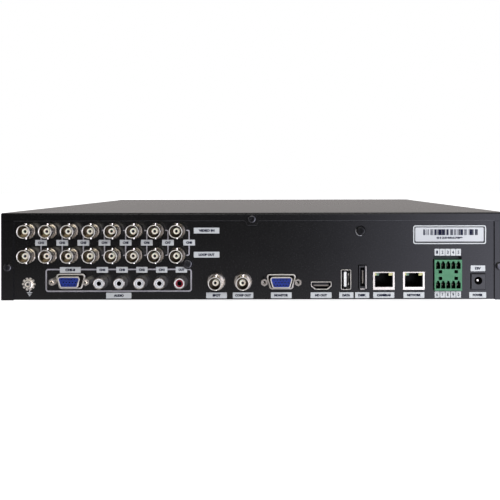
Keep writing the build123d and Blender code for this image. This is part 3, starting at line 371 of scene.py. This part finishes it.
def bored_and_shaded(tree, axes, radius, level, shading):
    """Mask of the bores together with a lighter shading of what lies below a level."""
    shade, most = tree.nodes.new("ShaderNodeMath"), tree.nodes.new("ShaderNodeMath")
    shade.operation, most.operation = "MULTIPLY", "MAXIMUM"
    shade.inputs[1].default_value = shading
    tree.links.new(behind(tree, level), shade.inputs[0])
    tree.links.new(shade.outputs[0], most.inputs[0])
    tree.links.new(inside_bores(tree, axes, radius), most.inputs[1])
    return most.outputs[0]


def soft_step(tree, value, level, ease):
    """One below the level, nought above it."""
    step = tree.nodes.new("ShaderNodeMapRange")
    step.interpolation_type = "SMOOTHSTEP"
    step.inputs["From Min"].default_value, step.inputs["From Max"].default_value = level - ease, level + ease
    step.inputs["To Min"].default_value, step.inputs["To Max"].default_value = 1, 0
    tree.links.new(value, step.inputs["Value"])
    return step.outputs["Result"]


def tinted(slot, name, colour, make_mask, *details):
    """A slot's surface in another colour where a mask says so, mostly a painted shade or shadow."""
    made = new_material(name, **FINISHES[slot])
    tree = made.node_tree
    shader = tree.nodes["Principled BSDF"]
    before = shader.inputs["Base Color"].links[0].from_socket
    mix = tree.nodes.new("ShaderNodeMix")
    mix.data_type = "RGBA"
    mix.inputs["B"].default_value = (*colour, 1)
    tree.links.new(make_mask(tree, *details), mix.inputs["Factor"])
    tree.links.new(before, mix.inputs["A"])
    tree.links.new(mix.outputs["Result"], shader.inputs["Base Color"])
    return made


BNC_NODES = (("video_in_bnc_shells", CHANNELS), ("loop_out_bnc_shells", CHANNELS), ("monitor_bnc_shells", 2))


def special_surfaces():
    """Surfaces of the nodes with painted shade: darker inside bores, cavities and recesses, and at the foot
    of the video connectors' barrels; the insulators also get a painted glow.
    """
    # bore_shade is a painted shade, brownish dark, inside the video connectors' bores and over part of their
    # barrels' foot; shadow is a painted shadow
    bore_shade, shadow = (0.12, 0.098, 0.066), (0.01, 0.009, 0.008)
    bore, phono_hole = 4.25 * MM, 1.75 * MM
    lamp_low, lamp_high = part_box("lan_lamps")
    lamp_half, port_gap = 5.2 * MM, 22.5 * MM
    lamp_row = (lamp_low.z + lamp_high.z) / 2
    port = lamp_high.x - lamp_half
    left_lamps = [(port - port_gap * i, lamp_row) for i in range(2)]
    # Below this level the barrels get painted shade, as strong as shade gives for each row
    shaded_below = PANEL_FACE + 4.5 * MM
    shade = {"monitor_bnc_shells": 0.0, "video_in_bnc_shells": 0.65, "loop_out_bnc_shells": 0.65}
    made = {node: tinted("nickel_plate", f"{node}_nickel", bore_shade, bored_and_shaded,
                         centres(node, count), bore, shaded_below, shade[node])
            for node, count in BNC_NODES}
    # Painted shadow in the holes of the phono inserts
    made["phono_inserts_white"] = tinted("phono_white", "phono_white_bored", shadow, inside_bores,
                                         centres("phono_inserts_white", 4), phono_hole)
    made["phono_insert_red"] = tinted("phono_red", "phono_red_bored", shadow, inside_bores,
                                      centres("phono_insert_red"), phono_hole)
    every_bnc = [axis for node, count in BNC_NODES for axis in centres(node, count)]
    # Painted shadow in the insulators' holes; the lines below make their painted glow take the same colour,
    # so the holes stay dark
    made["bnc_insulators"] = tinted("insulator_cream", "insulator_glow_bore_shadow", shadow, inside_bores,
                                    every_bnc, 1.1 * MM)
    insulator = made["bnc_insulators"].node_tree
    shader = insulator.nodes["Principled BSDF"]
    insulator.links.new(shader.inputs["Base Color"].links[0].from_socket, shader.inputs["Emission Color"])
    # Painted shadow over the contacts near each bore's axis
    made["bnc_contacts"] = tinted("contact_brass", "contact_deep", shadow, inside_bores, every_bnc, 2 * MM)
    # Painted shadow over the disk port's shell within 20 mm of its middle
    made["disk_port_shell"] = tinted("nickel_plate", "disk_port_plate", shadow, inside_bores,
                                     centres("disk_port_shell"), 20 * MM)
    # Painted shade over the network housings more than 0.7 mm behind the panel's face
    made["lan_housings"] = tinted("connector_black", "lan_cavity", (0.002, 0.002, 0.002), behind,
                                  PANEL_FACE - 0.7 * MM)
    made["lan_housings"].node_tree.nodes["Principled BSDF"].inputs["Specular IOR Level"].default_value = 0.08
    # Painted shade on the network contacts behind the panel's face
    made["lan_contacts"] = tinted("contact_brass", "lan_contact_shaded", (0.1, 0.05, 0.02), behind, PANEL_FACE)
    dished = [(SIDE - DISHED_SCREW[0] * MM, TRAY_BOTTOM + DISHED_SCREW[1] * MM)]
    made["panel_screws"] = tinted("black_screws", "panel_screw_black", (0.02, 0.02, 0.02), inside_bores,
                                  dished, 4 * MM)
    # Painted shade on the terminal pins behind the panel's face
    made["terminal_pins"] = tinted("tin_plate", "terminal_pin_shaded", (0.1, 0.09, 0.07), behind, PANEL_FACE)
    jackscrews = [(x + side * JACKSCREW * MM, z) for x, z in dsub_centres() for side in (-1, 1)]
    # Painted shadow in the jackscrews' threaded holes
    made["dsub_jackscrews"] = tinted("nickel_plate", "jackscrew_nickel", shadow, inside_bores,
                                     jackscrews, 0.95 * MM)
    # Painted shadow on the D-sub shells up to 0.45 mm in front of the panel's face
    made["dsub_shells"] = tinted("nickel_plate", "dsub_nickel", shadow, behind, PANEL_FACE + 0.45 * MM)
    # Painted shade in the D-sub inserts deeper than 0.25 mm behind their face
    made["dsub_inserts"] = tinted("dsub_blue", "dsub_blue_bored", (0.001, 0.002, 0.01), behind,
                                  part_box("dsub_inserts")[1].y - 0.25 * MM)
    # Painted shadow on the port shells behind a depth near the panel's face
    made["usb_port_shells"] = tinted("nickel_plate", "usb_nickel", shadow, behind, PANEL_FACE + 0.75 * MM)
    made["hd_port_shell"] = tinted("nickel_plate", "hd_nickel", shadow, behind, PANEL_FACE - 0.1 * MM)
    # Painted shade in the terminal header's cavities below its face
    header_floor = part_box("terminal_header")[1].y - 0.3 * MM
    made["terminal_header"] = tinted("terminal_green", "terminal_green_bored", (0.001, 0.012, 0.006),
                                     behind, header_floor)
    made["lan_lamps"] = tinted("lamp_lens", "lamp_lens_pair", (0.12, 0.2, 0.14), inside_bores,
                               left_lamps, 4 * MM)
    return made


def dress_cad_nodes():
    """Every CAD node gets the material of its slot, or its own version of it."""
    plain = {slot: new_material(slot, **finish) for slot, finish in FINISHES.items()}
    special = special_surfaces()
    for part in frame["record"]["subparts"]:
        mesh = frame["nodes"][part["node"]].data
        mesh.materials.clear()
        mesh.materials.append(special.get(part["node"]) or plain[part["material_slot"]])
    return plain


# ---------------------------------------------------------------- drawing helpers


def arc(centre, radius, start, end, steps=6):
    """Points along an arc, angles in degrees."""
    turns = [math.radians(start + (end - start) * i / steps) for i in range(steps + 1)]
    return [(centre[0] + radius * math.cos(t), centre[1] + radius * math.sin(t)) for t in turns]


def rounded(u, v, radius):
    """Rectangle between two u and two v with round corners."""
    (left, right), (low, high) = u, v
    return (arc((right - radius, low + radius), radius, -90, 0)
            + arc((right - radius, high - radius), radius, 0, 90)
            + arc((left + radius, high - radius), radius, 90, 180)
            + arc((left + radius, low + radius), radius, 180, 270))


def prism(bm, outline, w, hole=None):
    """Closed prism over an outline, with a hole of as many points if one is given."""
    def loop(points, level):
        return [bm.verts.new((*point, level)) for point in points]

    def skin(first, second):
        for i in range(len(first)):
            j = (i + 1) % len(first)
            bm.faces.new((first[i], first[j], second[j], second[i]))

    low, high = loop(outline, w[0]), loop(outline, w[1])
    skin(low, high)
    if hole is None:
        bm.faces.new(low)
        bm.faces.new(high)
        return
    hole_low, hole_high = loop(hole, w[0]), loop(hole, w[1])
    skin(hole_high, hole_low)
    skin(hole_low, low)
    skin(high, hole_high)


def frame_line(bm, u, v, radius, line, w):
    """Printed outline of a rounded rectangle."""
    inner = rounded((u[0] + line, u[1] - line), (v[0] + line, v[1] - line), radius - line)
    prism(bm, rounded(u, v, radius), w, inner)


def bracket(bm, u, v, tick, line, w):
    """Upright printed line with a short round-ended tick to the left at both ends."""
    (low, high), half, corner = v, line / 2, 1.0
    left = u - tick
    points = (arc((u - corner, high - corner), corner + half, 90, 0)
              + arc((u - corner, low + corner), corner + half, 0, -90)
              + arc((left, low), half, -90, -270)
              + arc((u - corner, low + corner), corner - half, -90, 0)
              + arc((u - corner, high - corner), corner - half, 0, 90)
              + arc((left, high), half, 270, 90))
    prism(bm, points, w)


def bead(bm, outline, width, w, steps=6):
    """Half-round bead along an outline; outline(inset) gives its points at an inset."""
    loops = []
    for i in range(steps + 1):
        turn = math.pi * i / steps
        inset, level = width * (1 - math.cos(turn)) / 2, w[0] + (w[1] - w[0]) * math.sin(turn)
        loops.append([bm.verts.new((*point, level)) for point in outline(inset)])
    for first, second in zip(loops, loops[1:] + loops[:1]):
        for i in range(len(first)):
            j = (i + 1) % len(first)
            bm.faces.new((first[i], first[j], second[j], second[i]))


def circle(centre, radius, steps=40):
    """Outline of a circle for a bead."""
    return lambda inset: arc(centre, radius - inset, 0, 360 * (steps - 1) / steps, steps - 1)


def write(bm, text, centre, size, w, weight=0.085):
    """Closed letters fitted to a width and a height about a centre."""
    curve = bpy.data.curves.new("letters", "FONT")
    curve.body, curve.extrude, curve.offset, curve.resolution_u = text, 0.5, weight, 3
    letters = bpy.data.objects.new("letters", curve)
    mesh = bpy.data.meshes.new_from_object(letters)
    low = [min(vert.co[i] for vert in mesh.vertices) for i in range(2)]
    high = [max(vert.co[i] for vert in mesh.vertices) for i in range(2)]
    scale = [size[i] / (high[i] - low[i]) for i in range(2)]
    fit = (Matrix.Translation((*centre, (w[0] + w[1]) / 2))
           @ Matrix.Diagonal((*scale, w[1] - w[0], 1))
           @ Matrix.Translation((-(low[0] + high[0]) / 2, -(low[1] + high[1]) / 2, 0)))
    mesh.transform(fit)
    bm.from_mesh(mesh)
    bpy.data.meshes.remove(mesh)
    bpy.data.objects.remove(letters)
    bpy.data.curves.remove(curve)


def add_piece(name, bm, place, material, body="root"):
    """Piece from a mesh drawn in millimetres, riding on a body."""
    bm.transform(place)
    bmesh.ops.recalc_face_normals(bm, faces=bm.faces)
    mesh = bpy.data.meshes.new(name)
    bm.to_mesh(mesh)
    bm.free()
    mesh.materials.append(material)
    piece = bpy.data.objects.new(name, mesh)
    bpy.context.scene.collection.objects.link(piece)
    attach(piece, body)
    return piece


# ---------------------------------------------------------------- printing on the panel

PLATE_HEIGHT = 4.35
LOW_ROW, AUDIO_ROW, CHANNEL_ROW = 3.1, 22.4, 42.8
PLATES = [
    ("VIDEO IN", 144.8, 164.0, 51.8), ("LOOP OUT", 144.8, 164.0, 33.7), ("AUDIO", 78.9, 97.9, LOW_ROW),
    ("CH5-8", 44.2, 59.8, AUDIO_ROW), ("CH4", 71.8, 80.4, AUDIO_ROW), ("CH3", 86.5, 95.2, AUDIO_ROW),
    ("CH2", 101.5, 110.0, AUDIO_ROW), ("CH1", 116.3, 124.9, AUDIO_ROW), ("OUT", 131.2, 139.7, AUDIO_ROW),
    ("SPOT", 154.0, 169.6, LOW_ROW), ("COMP OUT", 174.0, 189.4, LOW_ROW), ("MONITOR", 202.6, 218.2, LOW_ROW),
    ("HD OUT", 232.4, 248.2, LOW_ROW), ("DATA", 253.9, 264.6, LOW_ROW), ("DISK", 265.9, 276.5, LOW_ROW),
    ("CAMERAS", 279.5, 295.3, LOW_ROW), ("NETWORK", 302.2, 317.9, LOW_ROW), ("POWER", 351.6, 364.3, LOW_ROW),
    ("12V", 352.7, 363.6, 23.1),
]
LETTER_HEIGHT, LETTER_WIDTH = 1.95, 1.5


def channel_plates():
    """The numbered plates between the two rows of video connectors."""
    first, pitch, half = 30.1, 15.88, 4.4
    return [(f"CH{i + 1}", first + pitch * i - half, first + pitch * i + half, CHANNEL_ROW)
            for i in range(CHANNELS)]


def letter_size(text, width):
    """A word's width and height: even letters, but inside the plate."""
    return min(0.82 * width, LETTER_WIDTH * len(text)), LETTER_HEIGHT


def add_prints(ink_plate, ink_line, ink_letter):
    plates, lines, letters = bmesh.new(), bmesh.new(), bmesh.new()
    half = PLATE_HEIGHT / 2
    for text, left, right, v in PLATES + channel_plates():
        prism(plates, rounded((left, right), (v - half, v + half), 0.3), (0, 2 * INK))
        write(letters, text, ((left + right) / 2, v), letter_size(text, right - left), (2 * INK, 3 * INK))
    frame_line(lines, (33.4, 143.3), (5.9, 23.25), 2.2, 1.05, (0, INK))
    for _, left, right, _ in channel_plates():
        bracket(lines, (left + right) / 2, (33.3, 52.0), 1.6, 0.9, (0, INK))
    add_terminal_strips(plates, letters)
    add_earth_symbol(plates)
    frame_line(plates, (309.6, 364.3), (41.4, 55.4), 1.6, 0.8, (0, INK))
    add_piece("panel_plates", plates, PANEL, ink_plate)
    add_piece("panel_lines", lines, PANEL, ink_line)
    add_piece("panel_letters", letters, PANEL, ink_letter)


def add_terminal_strips(plates, letters):
    """Five small numbered cells above and below the green terminals."""
    cell, gap = 3.65, 0.36
    for row, (low, high) in enumerate(((32.7, 37.8), (1.1, 5.9))):
        for i in range(5):
            u = TERMINAL_U + 0.2 + (i - 2) * (cell + gap)
            prism(plates, rounded((u - cell / 2, u + cell / 2), (low, high), 0.2), (0, 2 * INK))
            digit, middle = str((5 * row + i + 1) % 10), (u, (low + high) / 2)
            write(letters, digit, middle, (1.3, 2.5), (2 * INK, 3 * INK), 0.03)


def add_earth_symbol(lines):
    """Stem and three bars under the earth screw, the widest on top."""
    u, low, high, step, thick = 21.4, 2.9, 7.2, 1.1, 0.6
    prism(lines, rounded((u - 0.35, u + 0.35), (low + 2 * step, high), 0.1), (0, INK))
    for i, half in enumerate((0.6, 1.3, 2.0)):
        level = low + step * i
        prism(lines, rounded((u - half, u + half), (level, level + thick), 0.1), (0, INK))


def add_sticker_print(ink_letter):
    """Bars and a row of plain digits on the serial sticker."""
    bars = bmesh.new()
    film = (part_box("serial_label")[1].y - PANEL_FACE) / MM
    start, end, bottom, top = 317.1, 357.7, 48.1, 52.5
    pattern = "211312141123113211412131221134112113231211213113221411312113212"
    unit = (end - start) / sum(int(step) for step in pattern)
    u, spread = start, 1.3
    for i, step in enumerate(pattern):
        width = int(step) * unit
        if i % 2 == 0:
            edge = u + spread * width
            prism(bars, [(u, bottom), (edge, bottom), (edge, top), (u, top)], (film, film + INK))
        u += width
    write(bars, "0123456789", ((start + end) / 2 - 0.6, 46.1), (19.6, 1.6), (film, film + INK), 0.06)
    add_piece("sticker_print", bars, PANEL, ink_letter)


# ---------------------------------------------------------------- small parts on the panel


def middle_of(node):
    """Middle of a node's box, across and up the panel."""
    low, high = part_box(node)
    return (SIDE - (low.x + high.x) / 2) / MM, ((low.z + high.z) / 2 - TRAY_BOTTOM) / MM


def proud_of(node):
    """How far a node's front stands out of the panel's face."""
    return (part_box(node)[1].y - PANEL_FACE) / MM


def from_panel_left(node):
    """A node's two sides across the panel."""
    low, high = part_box(node)
    return (SIDE - high.x) / MM, (SIDE - low.x) / MM


def d_outline(centre, width, height, corner, lean=1.3):
    """D-shaped outline, wide side up, for a bead."""
    def points(inset):
        half, up, radius = width / 2 - inset, height / 2 - inset, max(corner - inset, 0.3)
        u, v = centre
        return (arc((u + half - radius, v + up - radius), radius, 100, -10)[::-1]
                + arc((u - half + radius, v + up - radius), radius, 190, 80)[::-1]
                + arc((u - half + lean + radius, v - up + radius), radius, 270, 190)[::-1]
                + arc((u + half - lean - radius, v - up + radius), radius, 350, 270)[::-1])
    return points


def rounded_bead(u, v, radius):
    """Outline of a rounded rectangle for a bead."""
    return lambda inset: rounded((u[0] + inset, u[1] - inset), (v[0] + inset, v[1] - inset),
                                 max(radius - inset, 0.15))


def add_bnc_rims(material):
    """Rounded edge of every video connector's barrel."""
    rims = bmesh.new()
    for node, count in BNC_NODES:
        front = proud_of(node)
        for x, z in centres(node, count):
            centre = ((SIDE - x) / MM, (z - TRAY_BOTTOM) / MM)
            bead(rims, circle(centre, 4.86), 0.5, (front - 0.03, front + 0.2))
    add_piece("bnc_rims", rims, PANEL, material)


def add_dsub_rims(material):
    """Rolled front edge of both D-shaped tubes and of the raised frames round them."""
    front, rims = proud_of("dsub_shells"), bmesh.new()
    for x, z in dsub_centres():
        centre = ((SIDE - x) / MM, (z - TRAY_BOTTOM) / MM)
        bead(rims, d_outline(centre, 16.4, 8.4, 2.0), 0.9, (front - 0.05, front + 0.35))
        bead(rims, d_outline(centre, 21.7, 11.5, 2.3, 2.0), 1.05, (1.55, 2.0))
    add_piece("dsub_rims", rims, PANEL, material)


def add_port_rims(material):
    """Bright edges round the flat video port and the upright serial port, and its spring tabs."""
    rims, tabs = bmesh.new(), bmesh.new()
    u, v = USB_PORT
    bead(rims, rounded_bead((u - 3.75, u + 3.75), (v - 7.4, v + 7.4), 0.5), 0.4, (0.85, 1.15))
    for low, high in ((3.1, 4.3), (-4.1, -2.9)):
        prism(tabs, [(u + 1.8, v + low), (u + 2.4, v + low), (u + 2.4, v + high), (u + 1.8, v + high)],
              (-1.4, -0.5))
    bead(rims, hd_outline(HD_PORT), 0.42, (0.45, 0.75))
    add_piece("port_rims", rims, PANEL, material)
    add_piece("usb_spring_tabs", tabs, PANEL, material)


def hd_outline(centre):
    """Flat port outline, wide side up, with cut lower corners, for a bead."""
    def points(inset):
        half, up, cut, low = 7.65 - inset, 2.95 - inset, 3.0, 2.5
        u, v = centre
        return [(u + half, v + up), (u - half, v + up), (u - half, v - up + low - inset / 2),
                (u - half + cut - inset / 2, v - up), (u + half - cut + inset / 2, v - up),
                (u + half, v - up + low - inset / 2)]
    return points


def add_disk_port_wall(material):
    """Bare metal wall and lower lip of the external disk port."""
    bright = bmesh.new()
    (u, v), front = middle_of("disk_port_shell"), 0.3
    v += 0.1
    prism(bright, rounded((u + 2.3, u + 2.95), (v - 8.7, v + 8.3), 0.2), (front, front + 0.1))
    prism(bright, rounded((u - 2.0, u + 1.6), (v - 9.1, v - 8.5), 0.2), (front + 0.6, front + 0.7))
    add_piece("disk_port_wall", bright, PANEL, material)


def add_tongue_contacts(material):
    """Contact strips on the tongues of the flat video port and of the disk port."""
    strips = bmesh.new()
    u, v = HD_PORT
    prism(strips, rounded((u - 5.5, u + 5.5), (v - 0.6, v + 0.3), 0.1), (-1.2, -1.1))
    u, v = middle_of("disk_port_tongue")
    prism(strips, rounded((u - 0.15, u + 0.75), (v - 4.9, v + 4.9), 0.1), (-1.2, -1.1))
    add_piece("port_tongue_contacts", strips, PANEL, material)


def add_screw_dimples(material, edge):
    """Dished ring round both screws of the panel, and a painted highlight: a pale crescent on the lower left
    of the dished screw's ring.
    """
    rings = bmesh.new()
    for centre in (PANEL_SCREW, DISHED_SCREW):
        cup(rings, centre, (3.3, 3.45, 4.0), 0.4)
    add_piece("screw_dimples", rings, PANEL, material)
    # Painted highlight: pale crescent where the dished screw's ring would catch the light
    glint = bmesh.new()
    prism(glint, arc(DISHED_SCREW, 3.9, 165, 285, 20) + arc(DISHED_SCREW, 3.4, 285, 165, 20), (0.41, 0.45))
    add_piece("dish_glint", glint, PANEL, edge)


def cup(bm, centre, radii, height, steps=40):
    """Ring that slopes up from its inner radius, then falls away more steeply."""
    levels = [(radii[0], 0.0), (radii[2], height), (radii[2] + 0.1, 0.0)]
    turn = 360 * (steps - 1) / steps
    loops = [[bm.verts.new((*point, level)) for point in arc(centre, radius, 0, turn, steps - 1)]
             for radius, level in levels]
    for first, second in zip(loops, loops[1:] + loops[:1]):
        for i in range(steps):
            j = (i + 1) % steps
            bm.faces.new((first[i], first[j], second[j], second[i]))


def add_earth_shadows(material):
    """Painted shadow in the joint round the earth screw's head and in the socket in its top."""
    dark, (u, v) = bmesh.new(), middle_of("earth_screw")
    head = proud_of("earth_screw")
    bead(dark, circle((u, v), 2.8), 0.5, (head - 0.02, head + 0.04))
    prism(dark, arc((u, v), 1.0, 0, 345, 23), (head - 0.02, head + 0.03))
    add_piece("earth_shadows", dark, PANEL, material)


def add_phono_rings(grey, white):
    """Shallow ring on the face of the white inserts, grey as painted shade of a groove, and pale rim of the
    red one.
    """
    face = proud_of("phono_inserts_white")
    (left, right), v = from_panel_left("phono_inserts_white"), middle_of("phono_inserts_white")[1]
    half = (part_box("phono_inserts_white")[1].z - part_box("phono_inserts_white")[0].z) / 2 / MM
    rings, rim = bmesh.new(), bmesh.new()
    for i in range(4):
        u = left + half + (right - left - 2 * half) * i / 3
        bead(rings, circle((u, v), 2.75), 0.35, (face - 0.02, face + 0.06))
    bead(rim, circle(middle_of("phono_insert_red"), half), 0.7, (face - 0.05, face + 0.2))
    add_piece("phono_rings", rings, PANEL, grey)
    add_piece("phono_red_rim", rim, PANEL, white)


def add_cover_edge(material):
    """Painted highlight along the lower edge of the cover's top flange, with the dip round its screw."""
    edge, low, dip = bmesh.new(), 59.0, 55.6
    path = [(9.8, low), (183.3, low), (185.1, dip), (191.9, dip), (193.7, low), (370.2, low)]
    thick = 0.3
    points = path + [(u, v + thick) for u, v in reversed(path)]
    prism(edge, points, (1.0, 1.0 + INK))
    add_piece("cover_edge", edge, PANEL, material)


# ---------------------------------------------------------------- printing on the buttons


def add_button_prints(ink):
    """Power sign, arrows and words, each riding on its own button."""
    for button in ("power_button", "menu_button", "enter_button"):
        add_button_print(button, ink, None)
    headings = {"up_button": 90, "down_button": 270, "left_button": 180, "right_button": 0}
    for button, heading in headings.items():
        add_button_print(button, ink, heading)


def add_button_print(button, ink, heading):
    low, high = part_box(button)
    u, v = ((low.x + high.x) / 2 + SIDE) / MM, ((low.z + high.z) / 2 - TRAY_BOTTOM) / MM
    face = (BEZEL_FACE - low.y) / MM
    w, bm = (face, face + 2 * INK), bmesh.new()
    if heading is not None:
        prism(bm, arc((u, v), 1.9, heading, heading + 240, 2), w)
    elif button == "power_button":
        prism(bm, arc((u, v), 2.6, 120, 420, 24) + arc((u, v), 2.0, 420, 120, 24), w)
        prism(bm, rounded((u - 0.3, u + 0.3), (v + 0.4, v + 3.0), 0.1), w)
    else:
        text = {"menu_button": "MENU", "enter_button": "OK"}[button]
        write(bm, text, (u, v), (2.1 * len(text), 2.4), w, 0.03)
    add_piece(f"{button}_print", bm, BEZEL, ink, body=button)


# ---------------------------------------------------------------- the scene

add_camera()
add_studio()
surfaces = dress_cad_nodes()
PRINTED = (1200, 0.05, 0.00002)  # grain of printed ink
plate_ink = new_material("plate_ink", (0.46, 0.475, 0.48), (0.50, 0.515, 0.52), 90, (0.45, 0.55), PRINTED)
line_ink = new_material("line_ink", (0.3, 0.29, 0.31), (0.34, 0.33, 0.36), 90, (0.45, 0.55), PRINTED)
letter_ink = new_material("letter_ink", (0.005, 0.006, 0.02), (0.008, 0.01, 0.026), 90, (0.7, 0.8),
                          PRINTED, Specular_IOR_Level=0.15)
add_prints(plate_ink, line_ink, letter_ink)
add_sticker_print(letter_ink)
# Rims: pale, mostly matt colour on the rolled metal edges, partly the plating's own colour and partly
# painted sheen for the light these edges reflect
dim_sheen_rim = new_material("dim_sheen_rim", (0.44, 0.42, 0.39), (0.52, 0.5, 0.46), 300, (0.3, 0.4), POLISHED, 0.25)
bright_sheen_rim = new_material("bright_sheen_rim", (0.62, 0.59, 0.54), (0.7, 0.67, 0.62), 300, (0.25, 0.35),
                          POLISHED, 0.25)
add_bnc_rims(bright_sheen_rim)
add_dsub_rims(dim_sheen_rim)
add_port_rims(bright_sheen_rim)
add_disk_port_wall(surfaces["nickel_plate"])
contact_strip = new_material("contact_strip", (0.16, 0.14, 0.12), (0.22, 0.2, 0.17), 300, (0.35, 0.45),
                             POLISHED, 0.5)
add_tongue_contacts(contact_strip)
dish_wall = new_material("dish_wall", (0.012, 0.012, 0.013), (0.022, 0.022, 0.024), 300, (0.3, 0.4), MOULDED)
# painted_dish_glint is the colour of a painted highlight
painted_dish_glint = new_material("painted_dish_glint", (0.3, 0.3, 0.31), (0.38, 0.38, 0.39), 300, (0.3, 0.4), POLISHED, 0.2)
add_screw_dimples(dish_wall, painted_dish_glint)
# Painted shadow pieces on the earth screw, in the chip material's near-black
add_earth_shadows(surfaces["chip_black"])
# Painted shade: grey where a groove would lie in shade
painted_groove_shade = new_material("painted_groove_shade", (0.12, 0.12, 0.13), (0.17, 0.17, 0.18), 300, (0.4, 0.5), MOULDED)
add_phono_rings(painted_groove_shade, surfaces["phono_white"])
# Painted highlight: a strip lighter than the black paint where the flange edge catches the light
painted_edge_highlight = new_material("painted_edge_highlight", (0.02, 0.02, 0.022), (0.035, 0.035, 0.038), 200, (0.25, 0.35), PAINT)
add_cover_edge(painted_edge_highlight)
add_button_prints(plate_ink)
